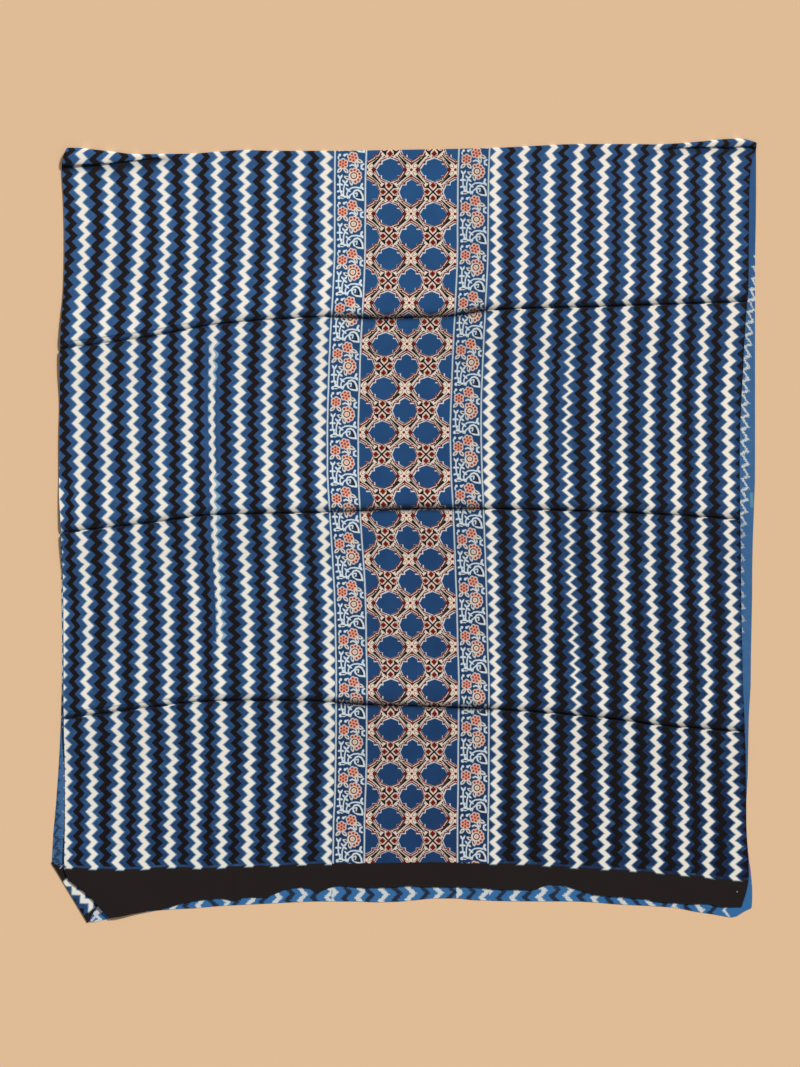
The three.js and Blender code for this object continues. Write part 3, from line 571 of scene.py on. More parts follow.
flat_from = lambda x: fold_line(x) + (HALF_THICK + np.interp(x, top_across, out + run)) / UNIT
above, wait = flat_from, [15, 25, 25]
for name, count in zip(("first", "second", "third"), wait):
    crease = (lambda table: lambda x: curved(table, "across", "down", x))(CREASES[name])
    start = above
    for k in range(1, count):
        t = k / count
        lay(lambda x: mix(start(x), crease(x) - CREASE_SECTION[0]["up"] / UNIT, t), fade=t * 2 if name == "first" else None)
    for n, part in enumerate(CREASE_SECTION):
        line = lambda x: crease(x) - part["up"] / UNIT
        a, _ = on_line("up", line)
        wander = 1 + 0.12 * noise(a / 16.0, np.full(COLUMNS, 1.5), 31) + 0.10 * noise(a / 45.0, np.full(COLUMNS, 4.5), 32)
        tall = curved(CREASES[name], "across", "deep", a) * 1.3 * wander
        over = curved(CREASES[name], "across", "lap", a) * wander
        pleat = curved(CREASES[name], "across", "pleat", a)
        lay(line, shape=(tall * part["rise"] + 0.9 * pleat * part["pleat"], over * part["lap"]),
            kind="crease" if -2.0 < part["up"] < 3.0 else "flat")
    above = (lambda c: lambda x: c(x) - CREASE_SECTION[-1]["up"] / UNIT)(crease)
last = above
for k in range(1, 20):
    lay(lambda x: mix(last(x), TUCK_TOP, k / 20))
TUCK_ROW = len(rows)
END_ROWS = 22
for k in range(END_ROWS + 1):
    lay(lambda x: mix(TUCK_TOP, up_end(x), k / END_ROWS))

ACROSS = np.array([r["across"] for r in rows])
DOWN = np.array([r["down"] for r in rows])
HIGH = np.array([r["high"] for r in rows])
AT_ACROSS = np.array([r["at"][0] for r in rows])
AT_DOWN = np.array([r["at"][1] for r in rows])
LAYERS = np.array([r["layer"] for r in rows])
KINDS = np.array([r["kind"] for r in rows])
ROWS = len(rows)
first_up = int(np.argmax(np.array([r["kind"] == "fold" for r in rows])))
last_fold = ROWS - 1 - int(np.argmax(np.array([r["kind"] == "fold" for r in rows])[::-1]))

# length along the sheet from row to row, in units
step = np.sqrt(np.diff(ACROSS, axis=0) ** 2 + np.diff(DOWN, axis=0) ** 2 + (np.diff(HIGH, axis=0) / UNIT) ** 2)
LONG = np.vstack([np.zeros(COLUMNS), np.cumsum(step, axis=0)])

# ---------------------------------------------------------------------------
# Places in the print.
# ---------------------------------------------------------------------------
CREASE_MID = {name: (lambda table: lambda x: curved(table, "across", "down", x))(CREASES[name]) for name in CREASES}


def by_row_of_blocks(table, key, across, down):
    """a column of a SET table, read in the stretch between two creases that the place is in"""
    levels, values = column(table, "down"), column(table, key)
    found = None
    for n in range(4):
        t = (down - levels[2 * n]) / (levels[2 * n + 1] - levels[2 * n])
        here = mix(values[2 * n], values[2 * n + 1], t)
        if found is None:
            found = here
        else:
            crease = CREASE_MID[("first", "second", "third")[n - 1]](across)
            found = np.where(down > crease, here, found)
    return found


def set_of_columns(table, which, across, down, place, half):
    """how far down the blocks were set, flat across each zigzag and turning between them.
    place counts zigzags from the field's first one; half is 0.5 for the black ones"""
    keys = [k for k in table[0] if k != "down"]
    numbers = [int(k[1:]) for k in keys]
    values = [by_row_of_blocks(table, k, across, down) for k in keys]

    def at_number(n):
        n = np.clip(n, numbers[0], numbers[-1])
        result = values[0]
        for i in range(1, len(numbers)):
            t = (n - numbers[i - 1]) / (numbers[i] - numbers[i - 1])
            result = np.where(t > 0, mix(values[i - 1], values[i], np.clip(t, 0, 1)), result)
        return result

    n = place - half
    low = np.floor(n)
    t = smooth((n - low - 0.3) / 0.4)
    return mix(at_number(low + half), at_number(low + 1 + half), t)


def drift_of(table, place, down):
    """how far right of its even place the print was set, between the zigzags too"""
    keys = [k for k in table[0] if k != "down"]
    found = straight(table, "down", keys[0], down)
    for n in range(1, len(keys)):
        found = mix(found, straight(table, "down", keys[n], down), smooth((place - n - 0.2) / 0.6))
    return found


def print_places(across, down, low):
    """for every vertex and every field: u, v of the white print, and v of the black one"""
    lay_ = {k: curved(LAYOUT, "down", k, down) for k in LAYOUT[0] if k != "down"}
    made = []
    black = {k: by_row_of_blocks(SET_YOKE, k, across, down) for k in ("blackL", "blackR", "stripL", "stripR", "lattice")}
    for zone in range(5):
        if zone in (0, 4):
            first, end = ("L1", "L10") if zone == 0 else ("R1", "R10")
            place = 1 + 9 * (across - lay_[first]) / (lay_[end] - lay_[first])
            if zone == 4:
                place = np.where(place > 10, 10 + (place - 10) * 0.88, place)
            if zone == 0:
                # the column on the left edge was set closer than the others
                closer = straight(EDGE_COLUMN, "down", "closer", down)
                place = np.where(place < 1, 1 + (place - 1) * closer, place)
            if low is not None:
                place = place + low * (0.30 if zone == 4 else -0.10)
            place = place - drift_of(DRIFT_LEFT if zone == 0 else DRIFT_RIGHT, place, down) / ZIG_COL
            if zone == 4 and low is not None:
                shows = 11 + (across - straight(RIGHT_SHOWS, "down", "column", down)) / ZIG_COL
                place = np.where((place > 10.3) & (down < 860), shows, place)
            table = SET_LEFT if zone == 0 else SET_RIGHT
            white_set = set_of_columns(table, zone, across, down, place, 0.0)
            black_set = set_of_columns(table, zone, across, down, place, 0.5)
            black_set = black_set + black["blackL" if zone == 0 else "blackR"]
            made.append((place * ZIG_COL, down - ZIG_ROW * white_set, down - ZIG_ROW * black_set))
        elif zone in (1, 3):
            left, right = ("lineA", "lineB") if zone == 1 else ("lineC", "lineD")
            u = (across - lay_[left]) / (lay_[right] - lay_[left]) * STRIP_WIDE
            v = down - black["stripL" if zone == 1 else "stripR"]
            made.append((u, v, v))
        else:
            middle = (lay_["lineB"] + lay_["lineC"]) / 2
            u = (across - middle) / (lay_["lineC"] - lay_["lineB"]) * YOKE_WIDE
            v = down - black["lattice"]
            made.append((u, v, v))
    return made


def spread(made, values_at=None):
    """fills the rows inside creases by their length along the sheet"""
    result = []
    for triple in made:
        new = []
        for grid in triple:
            grid = grid.copy()
            i = 0
            while i < ROWS:
                if KINDS[i] == "crease":
                    j = i
                    while KINDS[j] == "crease":
                        j += 1
                    share = (LONG[i:j] - LONG[i - 1]) / (LONG[j] - LONG[i - 1])
                    grid[i:j] = mix(grid[i - 1], grid[j], share)
                    i = j
                i += 1
            new.append(grid)
        result.append(new)
    return result


# the upper layer is laid out by the tables; the fold and the lower layer go on from
# it by their length, so the print runs round the fold without a break
anchor = last_fold + 1
at_down = AT_DOWN.copy()
at_across = AT_ACROSS.copy()
is_low = np.zeros((ROWS, COLUMNS))
upper = print_places(at_across, at_down, None)
upper = spread(upper)
lower_shift = np.clip((AT_DOWN - 160) / 200, 0, 1)
flat_low = print_places(AT_ACROSS, np.clip(AT_DOWN, 165, None), lower_shift)
uvs = []
for zone in range(5):
    u, v, w = upper[zone]
    lu, lv, lw = flat_low[zone]
    u, v, w = u.copy(), v.copy(), w.copy()
    for i in range(anchor - 1, -1, -1):
        gone = LONG[anchor] - LONG[i]
        v[i] = v[anchor] - gone
        w[i] = w[anchor] - gone
        u[i] = lu[i] if LAYERS[i] == "low" and KINDS[i] == "flat" else upper[zone][0][anchor]
    # blend u between the fold and the flat lower layer
    n_low = first_up
    for i in range(n_low):
        t = smooth((AT_DOWN[i] - 160) / 200)
        u[i] = mix(upper[zone][0][anchor], lu[i], t)
    uvs.append((u, v, w))
band_off = at_down - curved(BAND, "across", "down", at_across)
for i in range(first_up, anchor):
    band_off[i] = -500
band_off[:first_up] = -500
lay_down = at_down.copy()
lay_across = at_across.copy()

# painted shade along the creases and painted shadow under the rolled fold, 0 to 1
painted_shade = np.zeros((ROWS, COLUMNS))
for seed, name in enumerate(CREASES):
    off = curved(CREASES[name], "across", "down", lay_across) - lay_down
    near = np.where(off > 0, 1 - off / 9.0, 1 + off / 2.4) * 1.45
    strong = 0.92 + 0.30 * noise(lay_across / 24.0, np.full(lay_across.shape, 2.5), 41 + seed)
    strong = strong * straight(CREASES[name], "across", "deep", lay_across) / 4.2
    painted_shade = np.maximum(painted_shade, smooth(near) * strong)
# painted shadow just below the lip of the rolled fold at the top
lip = np.interp(lay_across, [63, 81, 103, 125, 151, 185, 400, 401], [165, 165, 164.6, 162, 158.6, 154.6, 154.6, 147.2])
off = lay_down - lip
near = np.where(off > 0, 1 - off / 10.0, 1 + off / 1.0) * 1.4
rolled_here = straight(TOP_ROLL, "across", "rolled", lay_across)
painted_shade = np.maximum(painted_shade, smooth(near) * np.where(lay_across < 400, smooth(rolled_here * 2.5), rolled_here * 0.6))
painted_shade[:first_up] = 0.0
painted_shade = np.clip(painted_shade, 0, 1)

# ---------------------------------------------------------------------------
# Vertices, quads and the two turned strips.
# ---------------------------------------------------------------------------
points = [np.stack([ACROSS, DOWN, HIGH], axis=-1).reshape(-1, 3)]
count = ROWS * COLUMNS
index = np.arange(count).reshape(ROWS, COLUMNS)
quads, quad_zone, quad_rows = [], [], []
a = index[:-1, :-1].ravel(); b = index[:-1, 1:].ravel(); c = index[1:, 1:].ravel(); d = index[1:, :-1].ravel()
quads.append(np.stack([a, b, c, d], axis=-1))
quad_zone.append(np.tile(zone_of[:-1], ROWS - 1))
# per-vertex print places of the grid, one set for each field
VERT = {zone: [g.ravel() for g in uvs[zone]] for zone in range(5)}
vert_band = band_off.ravel()
vert_lay = np.stack([lay_across.ravel(), lay_down.ravel()], axis=-1)
extra_uv, extra_band, extra_lay = [], [], []


def turned_strip(edge_rows, side, wide):
    """a strip that turns over (+1) or under (-1) from the left edge and lies back inwards"""
    global count
    radius = LAYER / 2
    edge = np.stack([ACROSS[edge_rows, 0], DOWN[edge_rows, 0]], axis=-1) * UNIT
    level = HIGH[edge_rows, 0]
    run_ = np.gradient(edge, axis=0)
    run_ /= np.linalg.norm(run_, axis=1)[:, None]
    out_ = np.stack([run_[:, 1], -run_[:, 0]], axis=-1)
    out_[out_[:, 0] > 0] *= -1
    reach = wide(edge / UNIT, np.arange(len(edge_rows)))
    lines, lengths = [], []
    for turn in (22.5, 45, 67.5, 90, 112.5, 135, 157.5, 180):
        r = math.radians(turn)
        place = edge + out_ * radius * math.sin(r)
        z = level + side * radius * (1 - math.cos(r))
        lines.append(np.column_stack([place / UNIT, z]))
        lengths.append(np.full(len(edge), radius * r))
    for share in (0.08, 0.18, 0.3, 0.42, 0.55, 0.68, 0.8, 0.9, 1.0):
        place = edge - out_ * reach[:, None] * share
        z = level + side * LAYER + 0.15 * side * math.sin(share * 3)
        lines.append(np.column_stack([place / UNIT, z]))
        lengths.append(math.pi * radius + reach * share)
    base_u = [VERT[0][k][index[edge_rows, 0]] for k in range(3)]
    flat_edge = np.stack([AT_ACROSS[edge_rows, 0], AT_DOWN[edge_rows, 0]], axis=-1)
    before = index[edge_rows, 0]
    for line, length in zip(lines, lengths):
        new = np.arange(count, count + len(edge_rows))
        count += len(edge_rows)
        points.append(line)
        away = out_ * (length / UNIT)[:, None]
        if side > 0:
            # the turned corner's own print: one zigzag along FLAP_LINE, and where it ends
            off = line[:, :2] - FLAP_LINE["at"]
            c, d_ = FLAP_LINE["run"]
            along = off[:, 0] * c + off[:, 1] * d_
            extra_uv.append(np.column_stack([off[:, 1] * c - off[:, 0] * d_, along - 0.6, along - 0.6]))
            extra_band.append(np.maximum(along - FLAP_LINE["ends"], FLAP_LINE["starts"] - along))
        else:
            # the print goes on past the edge as if the strip lay flat outside it
            extra_uv.append(np.column_stack([base_u[0] + away[:, 0], base_u[1] + away[:, 1], base_u[2] + away[:, 1]]))
            extra_band.append(vert_band[index[edge_rows, 0]] + away[:, 1])
        extra_lay.append(line[:, :2])
        quads.append(np.stack([before[:-1], before[1:], new[1:], new[:-1]], axis=-1))
        quad_zone.append(np.full(len(edge_rows) - 1, 0))
        before = new


fold_a, fold_b, tip = (np.array(TURNED[k]) for k in ("A", "B", "tip"))
fold_long = np.linalg.norm(fold_b - fold_a)
fold_dir = (fold_a - fold_b) / fold_long
tip_along = float((tip - fold_b) @ fold_dir)
tip_wide = abs(float((tip - fold_b)[0] * fold_dir[1] - (tip - fold_b)[1] * fold_dir[0])) * UNIT


def turned_wide(edge, k):
    along = (edge - fold_b) @ fold_dir
    share = np.where(along < tip_along, along / tip_along, (fold_long - along) / (fold_long - tip_along))
    return np.maximum(STRIP_END, tip_wide * np.clip(share, 0, 1))


def tucked_wide(edge, k):
    return np.maximum(STRIP_END, TUCK_WIDE * np.sin(math.pi * k / (len(k) - 1)))


turned_strip(np.arange(0, TURN_ROWS + 1), +1, turned_wide)
turned_strip(np.arange(TUCK_ROW, ROWS), -1, tucked_wide)

place = np.vstack(points)
quads = np.vstack(quads)
quad_zone = np.concatenate(quad_zone)
all_uv = {}
extra = np.vstack(extra_uv)
for zone in range(5):
    all_uv[zone] = np.vstack([np.column_stack(VERT[zone]), extra])
all_band = np.concatenate([vert_band, np.concatenate(extra_band)])
all_lay = np.vstack([vert_lay, np.vstack(extra_lay)])
all_painted_shade = np.concatenate([painted_shade.ravel(), np.zeros(len(extra))])

# units to metres, +Y up the cloth
xyz = np.column_stack([
    (place[:, 0] - ORIGIN[0]) * UNIT, (ORIGIN[1] - place[:, 1]) * UNIT, place[:, 2],
]) / 1000.0

# vertex normals of the middle surface; the printed face is outwards
p0, p1, p2, p3 = (xyz[quads[:, k]] for k in range(4))
face_n = np.cross(p2 - p0, p3 - p1)
normal = np.zeros_like(xyz)
for k in range(4):
    np.add.at(normal, quads[:, k], face_n)
normal /= np.maximum(np.linalg.norm(normal, axis=1), 1e-12)[:, None]
# the upper layer's printed face looks up
middle_row = int(ROWS * 0.8)
if normal[index[middle_row, COLUMNS // 2], 2] < 0:
    normal = -normal
    quads = quads[:, ::-1]

half = HALF_THICK / 1000.0
shell = np.vstack([xyz + normal * half, xyz - normal * half])
n_mid = len(xyz)
outer, inner = quads, quads[:, ::-1] + n_mid
# rim: quads along every edge that only one face uses
pairs = np.vstack([quads[:, [k, (k + 1) % 4]] for k in range(4)])
codes = pairs[:, 0].astype(np.int64) * (n_mid * 2) + pairs[:, 1]
back_codes = pairs[:, 1].astype(np.int64) * (n_mid * 2) + pairs[:, 0]
rim = pairs[~np.isin(codes, back_codes)]
rim_quads = np.column_stack([rim[:, 1], rim[:, 0], rim[:, 0] + n_mid, rim[:, 1] + n_mid])
faces = np.vstack([outer, inner, rim_quads])
# the mesh must face outwards
q0, q1, q2, q3 = (shell[faces[:, k]] for k in range(4))
volume = np.einsum("ij,ij->i", q0, np.cross(q1, q2)).sum() + np.einsum("ij,ij->i", q0, np.cross(q2, q3)).sum()
if volume < 0:
    faces = faces[:, ::-1]

FIELD, STRIP, YOKE, BACK = 0, 1, 2, 3
zone_slot = np.array([FIELD, STRIP, YOKE, STRIP, FIELD])
slots = np.concatenate([zone_slot[quad_zone], np.full(len(inner), BACK), np.full(len(rim_quads), BACK)])
face_zone = np.concatenate([quad_zone, quad_zone, np.zeros(len(rim_quads), dtype=int)])
rim_zone = np.where(rim[:, 0] < ROWS * COLUMNS, zone_of[np.minimum(rim[:, 0] % COLUMNS, COLUMNS - 1)], 0)
face_zone[len(quads) * 2:] = rim_zone

mesh = bpy.data.meshes.new("ajrakh_cloth")
mesh.vertices.add(len(shell))
mesh.vertices.foreach_set("co", shell.ravel())
mesh.loops.add(faces.size)
mesh.loops.foreach_set("vertex_index", faces.ravel())
mesh.polygons.add(len(faces))
mesh.polygons.foreach_set("loop_start", np.arange(0, faces.size, 4))
mesh.polygons.foreach_set("loop_total", np.full(len(faces), 4))
mesh.polygons.foreach_set("material_index", slots)
mesh.polygons.foreach_set("use_smooth", np.ones(len(faces), dtype=bool))
mesh.update(calc_edges=True)

loop_vertex = faces.ravel() % n_mid
loop_zone = np.repeat(face_zone, 4)
stack = np.stack([all_uv[z] for z in range(5)])           # zone, vertex, 3
picked = stack[loop_zone, loop_vertex]
# the fourth map carries the painted crease shade and the painted shadow under the roll
for name, data in (
    ("Print", picked[:, :2]),
    ("Blocks", np.column_stack([picked[:, 2], all_band[loop_vertex]])),
    ("Lay", all_lay[loop_vertex]),
    ("Folds", np.column_stack([all_painted_shade[loop_vertex], np.zeros(len(loop_vertex))])),
):
    layer = mesh.uv_layers.new(name=name)
    layer.data.foreach_set("uv", np.ascontiguousarray(data, dtype=np.float32).ravel())
mesh.uv_layers.active = mesh.uv_layers["Print"]

# the rim's two edges are crisp
edge_v = np.empty(len(mesh.edges) * 2, dtype=int)
mesh.edges.foreach_get("vertices", edge_v)
edge_v = edge_v.reshape(-1, 2)
rim_set = set()
for p, q in rim:
    rim_set.add((min(p, q), max(p, q)))
    rim_set.add((min(p, q) + n_mid, max(p, q) + n_mid))
sharp = np.array([(min(p, q), max(p, q)) in rim_set for p, q in edge_v])
attribute = mesh.attributes.new("sharp_edge", "BOOLEAN", "EDGE")
attribute.data.foreach_set("value", sharp)
mesh.validate()
mesh.update()

cloth = bpy.data.objects.new("ajrakh_cloth", mesh)
bpy.context.scene.collection.objects.link(cloth)


# ---------------------------------------------------------------------------
# Node helpers.
# ---------------------------------------------------------------------------
def linear(rgb):
    """a colour given in display values from 0 to 255, for a shader"""
    made = []
    for c in rgb:
        c = c / 255.0
        made.append(c / 12.92 if c <= 0.04045 else ((c + 0.055) / 1.055) ** 2.4)
    return (*made, 1.0)


class Value:
    """a number or vector that a node gives, with the usual signs"""

    def __init__(self, net, socket):
        self.net, self.socket = net, socket

    def __add__(self, other):
        return self.net.math("ADD", self, other)

    def __radd__(self, other):
        return self.net.math("ADD", other, self)

    def __sub__(self, other):
        return self.net.math("SUBTRACT", self, other)

    def __rsub__(self, other):
        return self.net.math("SUBTRACT", other, self)

    def __mul__(self, other):
        return self.net.math("MULTIPLY", self, other)

    def __rmul__(self, other):
        return self.net.math("MULTIPLY", other, self)

    def __truediv__(self, other):
        if isinstance(other, Value):
            return self.net.math("DIVIDE", self, other)
        return self.net.math("MULTIPLY", self, 1.0 / other)


class Net:
    """a material and its nodes"""

    def __init__(self, name):
        self.material = bpy.data.materials.new(name)
        self.material.use_nodes = True
        self.tree = self.material.node_tree
        self.tree.nodes.clear()

    def node(self, kind, **settings):
        made = self.tree.nodes.new(kind)
        for key, value in settings.items():
            setattr(made, key, value)
        return made

    def feed(self, socket, value):
        if isinstance(value, Value):
            self.tree.links.new(value.socket, socket)
        else:
            socket.default_value = value

    def math(self, operation, *values, clamp=False):
        made = self.node("ShaderNodeMath", operation=operation, use_clamp=clamp)
        for socket, value in zip(made.inputs, values):
            self.feed(socket, value)
        return Value(self, made.outputs[0])

    def vector(self, operation, *values):
        made = self.node("ShaderNodeVectorMath", operation=operation)
        for socket, value in zip(made.inputs, values):
            self.feed(socket, value)
        out = "Value" if operation in ("LENGTH", "DISTANCE", "DOT_PRODUCT") else "Vector"
        return Value(self, made.outputs[out])

    def uv(self, name):
        made = self.node("ShaderNodeUVMap", uv_map=name)
        apart = self.node("ShaderNodeSeparateXYZ")
        self.tree.links.new(made.outputs[0], apart.inputs[0])
        return Value(self, apart.outputs[0]), Value(self, apart.outputs[1])

    # ---- shapes ----
    def vec(self, x, y, z=0.0):
        made = self.node("ShaderNodeCombineXYZ")
        for socket, value in zip(made.inputs, (x, y, z)):
            self.feed(socket, value)
        return Value(self, made.outputs[0])

    def min(self, a, b):
        return self.math("MINIMUM", a, b)

    def max(self, a, b):
        return self.math("MAXIMUM", a, b)

    def abs(self, a):
        return self.math("ABSOLUTE", a)

    def dist(self, p, x, y):
        return self.vector("DISTANCE", p, (x, y, 0.0))

    def _foot(self, p, ax, ay, bx, by):
        dx, dy = bx - ax, by - ay
        long = dx * dx + dy * dy
        off = self.vector("SUBTRACT", p, (ax, ay, 0.0))
        along = self.vector("DOT_PRODUCT", off, (dx / long, dy / long, 0.0))
        # minimum and maximum, because a node's own clamp is worked out after all the others
        along = self.math("MINIMUM", self.math("MAXIMUM", along, 0.0), 1.0)
        reach = self.node("ShaderNodeVectorMath", operation="SCALE")
        self.feed(reach.inputs["Vector"], (dx, dy, 0.0))
        self.feed(reach.inputs["Scale"], along)
        return along, self.vector("DISTANCE", off, Value(self, reach.outputs["Vector"]))

    def seg(self, p, ax, ay, bx, by, r):
        _, far = self._foot(p, ax, ay, bx, by)
        return far - r

    def seg_taper(self, p, ax, ay, bx, by, r0, r1):
        along, far = self._foot(p, ax, ay, bx, by)
        return far - self.math("MULTIPLY_ADD", along, r1 - r0, r0)

    def wrap(self, a, n, low=0.0):
        return self.math("WRAP", a, low + n, low)

    def pingpong(self, a, n):
        return self.math("PINGPONG", a, n)

    def cover(self, d, soft):
        share = self.math("MULTIPLY_ADD", d, -1.0 / soft, 0.5)
        return self.math("MINIMUM", self.math("MAXIMUM", share, 0.0), 1.0)

    def mix(self, mask, low, colour):
        made = self.node("ShaderNodeMix", data_type="RGBA")
        self.feed(made.inputs[0], mask)
        self.feed(made.inputs[6], low)
        self.feed(made.inputs[7], colour)
        return Value(self, made.outputs[2])

    def noise(self, p, scale, detail=2.0, rough=0.5, out=0):
        made = self.node("ShaderNodeTexNoise", noise_dimensions="3D")
        self.feed(made.inputs["Vector"], p)
        made.inputs["Scale"].default_value = scale
        made.inputs["Detail"].default_value = detail
        made.inputs["Roughness"].default_value = rough
        return Value(self, made.outputs[out])

    def dice(self, p):
        made = self.node("ShaderNodeTexWhiteNoise", noise_dimensions="3D")
        self.feed(made.inputs["Vector"], p)
        apart = self.node("ShaderNodeSeparateColor")
        self.tree.links.new(made.outputs["Color"], apart.inputs[0])
        return [Value(self, apart.outputs[k]) for k in range(3)]

    def finish(self, colour, across, down, roughness=0.92, sheen=0.03, bump=0.35):
        """the cotton's own shader: thread relief, slubs and a soft sheen"""
        threads = 2 * math.pi * UNIT / 0.56
        weave = self.math("SINE", across * threads) * self.math("SINE", down * threads)
        slub_a = self.noise(self.vec(across * 0.16, down * 2.2), 1.0, 1.0)
        slub_b = self.noise(self.vec(across * 2.2, down * 0.16, 5.0), 1.0, 1.0)
        relief_ = weave * 0.35 + slub_a * 0.9 + slub_b * 0.9
        made = self.node("ShaderNodeBump")
        made.inputs["Strength"].default_value = bump
        made.inputs["Distance"].default_value = 0.00012
        self.feed(made.inputs["Height"], relief_)
        shader = self.node("ShaderNodeBsdfPrincipled")
        self.feed(shader.inputs["Base Color"], colour)
        shader.inputs["Roughness"].default_value = roughness
        shader.inputs["Specular IOR Level"].default_value = 0.08
        shader.inputs["Sheen Weight"].default_value = sheen
        shader.inputs["Sheen Roughness"].default_value = 0.5
        self.tree.links.new(made.outputs["Normal"], shader.inputs["Normal"])
        out_ = self.node("ShaderNodeOutputMaterial")
        self.tree.links.new(shader.outputs[0], out_.inputs[0])
        return self.material


# ---------------------------------------------------------------------------
# The floral border and the lattice, drawn as distances to simple shapes, in
# units.  In the border, x runs from its left line and y down from the top of
# its repeat.
# ---------------------------------------------------------------------------
ROUND_FLOWERS = [       # heart x, y, then its six petals' middles
    {"x": 17.4, "y": 9.3, "ring": 3.25, "turn": 0.26},
    {"x": 7.9, "y": 15.6, "ring": 3.05, "turn": 0.55},
]
HALF_FLOWER = [         # the large flower's petals round (18.9, 27.6), clockwise
    {"x": 16.4, "y": 22.6}, {"x": 19.6, "y": 21.9}, {"x": 22.5, "y": 23.3}, {"x": 24.4, "y": 25.8},
    {"x": 24.9, "y": 29.0}, {"x": 23.4, "y": 31.9}, {"x": 20.6, "y": 33.6},
]
LEAVES = [              # from x, y to x, y, half width, and whether it has a dark vein
    {"a": (20.2, 11.6), "b": (27.6, 14.6), "half": 1.75, "vein": 1},
    {"a": (19.2, 12.8), "b": (23.0, 18.8), "half": 1.65, "vein": 1},
    {"a": (7.0, 19.8), "b": (2.4, 24.4), "half": 1.7, "vein": 1},
    {"a": (8.6, 19.8), "b": (13.2, 24.8), "half": 1.7, "vein": 1},
    {"a": (15.2, 31.2), "b": (9.2, 28.2), "half": 1.5, "vein": 1},
    {"a": (15.8, 31.2), "b": (17.2, 37.2), "half": 1.65, "vein": 1},
    {"a": (3.0, 26.8), "b": (5.3, 30.8), "half": 0.8, "vein": 0},
    {"a": (7.6, 26.6), "b": (5.3, 30.8), "half": 0.8, "vein": 0},
    {"a": (2.0, 36.5), "b": (5.0, 35.9), "half": 0.85, "vein": 0},
    {"a": (8.2, 36.6), "b": (5.0, 35.9), "half": 0.85, "vein": 0},
    {"a": (2.2, 43.4), "b": (5.2, 42.4), "half": 0.85, "vein": 0},
    {"a": (8.0, 43.6), "b": (5.2, 42.4), "half": 0.85, "vein": 0},
    {"a": (7.6, 31.8), "b": (10.4, 35.0), "half": 0.8, "vein": 0},
    {"a": (13.4, 31.6), "b": (10.4, 35.0), "half": 0.8, "vein": 0},
    {"a": (13.6, 37.8), "b": (10.0, 35.2), "half": 0.8, "vein": 0},
    {"a": (11.2, 39.6), "b": (13.6, 42.2), "half": 0.75, "vein": 0},
    {"a": (15.8, 43.4), "b": (12.6, 41.4), "half": 0.75, "vein": 0},
    {"a": (26.0, 17.2), "b": (29.0, 15.8), "half": 0.8, "vein": 0},
    {"a": (26.0, 20.2), "b": (29.2, 21.6), "half": 0.8, "vein": 0},
    {"a": (26.4, 37.8), "b": (27.8, 34.8), "half": 1.0, "vein": 0},
    {"a": (26.4, 38.4), "b": (28.8, 41.6), "half": 1.0, "vein": 0},
]
STEMS = [               # from x, y to x, y, half width
    {"a": (5.2, 30.0), "b": (4.9, 36.2), "half": 0.6}, {"a": (4.9, 36.2), "b": (5.4, 42.0), "half": 0.55},
    {"a": (5.4, 42.0), "b": (7.2, 46.4), "half": 0.6}, {"a": (10.2, 35.0), "b": (8.9, 39.6), "half": 0.55},
    {"a": (8.9, 39.6), "b": (8.7, 46.4), "half": 0.55},
    {"a": (4.2, 7.4), "b": (3.0, 9.2), "half": 0.5}, {"a": (3.0, 9.2), "b": (3.6, 11.0), "half": 0.45},
    {"a": (9.6, 7.0), "b": (11.8, 6.0), "half": 0.55},
    {"a": (14.9, 17.6), "b": (17.0, 16.6), "half": 0.6}, {"a": (17.0, 16.6), "b": (19.4, 17.6), "half": 0.6},
    {"a": (19.4, 17.6), "b": (21.6, 19.8), "half": 0.55}, {"a": (26.2, 17.0), "b": (26.2, 20.4), "half": 0.7},
    {"a": (13.0, 49.6), "b": (12.1, 45.2), "half": 0.5}, {"a": (12.1, 45.2), "b": (13.6, 41.6), "half": 0.5},
    {"a": (13.6, 41.6), "b": (17.4, 39.4), "half": 0.5}, {"a": (17.4, 39.4), "b": (21.6, 39.0), "half": 0.55},
    {"a": (21.6, 39.0), "b": (25.8, 39.8), "half": 0.6}, {"a": (14.4, 50.0), "b": (15.4, 46.8), "half": 0.5},
    {"a": (15.4, 46.8), "b": (18.4, 44.4), "half": 0.5},
    {"a": (18.4, 44.8), "b": (20.0, 42.4), "half": 0.65}, {"a": (20.0, 42.4), "b": (23.0, 41.6), "half": 0.7},
    {"a": (23.0, 41.6), "b": (25.8, 43.2), "half": 0.75}, {"a": (25.8, 43.2), "b": (27.8, 47.0), "half": 0.75},
    {"a": (27.8, 47.0), "b": (28.4, 51.4), "half": 0.75}, {"a": (18.4, 44.8), "b": (19.4, 48.4), "half": 0.65},
    {"a": (19.4, 48.4), "b": (23.4, 50.8), "half": 0.7}, {"a": (23.4, 50.8), "b": (28.4, 51.4), "half": 0.75},
    {"a": (19.8, 45.0), "b": (22.6, 44.4), "half": 0.45}, {"a": (22.6, 44.4), "b": (22.0, 47.6), "half": 0.45},
    {"a": (7.0, 48.4), "b": (14.6, 48.2), "half": 0.8},
]
SPOTS = [               # small white rounds: x, y, r
    {"x": 4.6, "y": 7.0, "r": 1.15}, {"x": 9.4, "y": 7.2, "r": 1.2}, {"x": 26.4, "y": 38.1, "r": 1.0},
    {"x": 7.6, "y": 47.9, "r": 2.3}, {"x": 4.4, "y": 49.0, "r": 1.5}, {"x": 26.2, "y": 18.6, "r": 0.9},
]
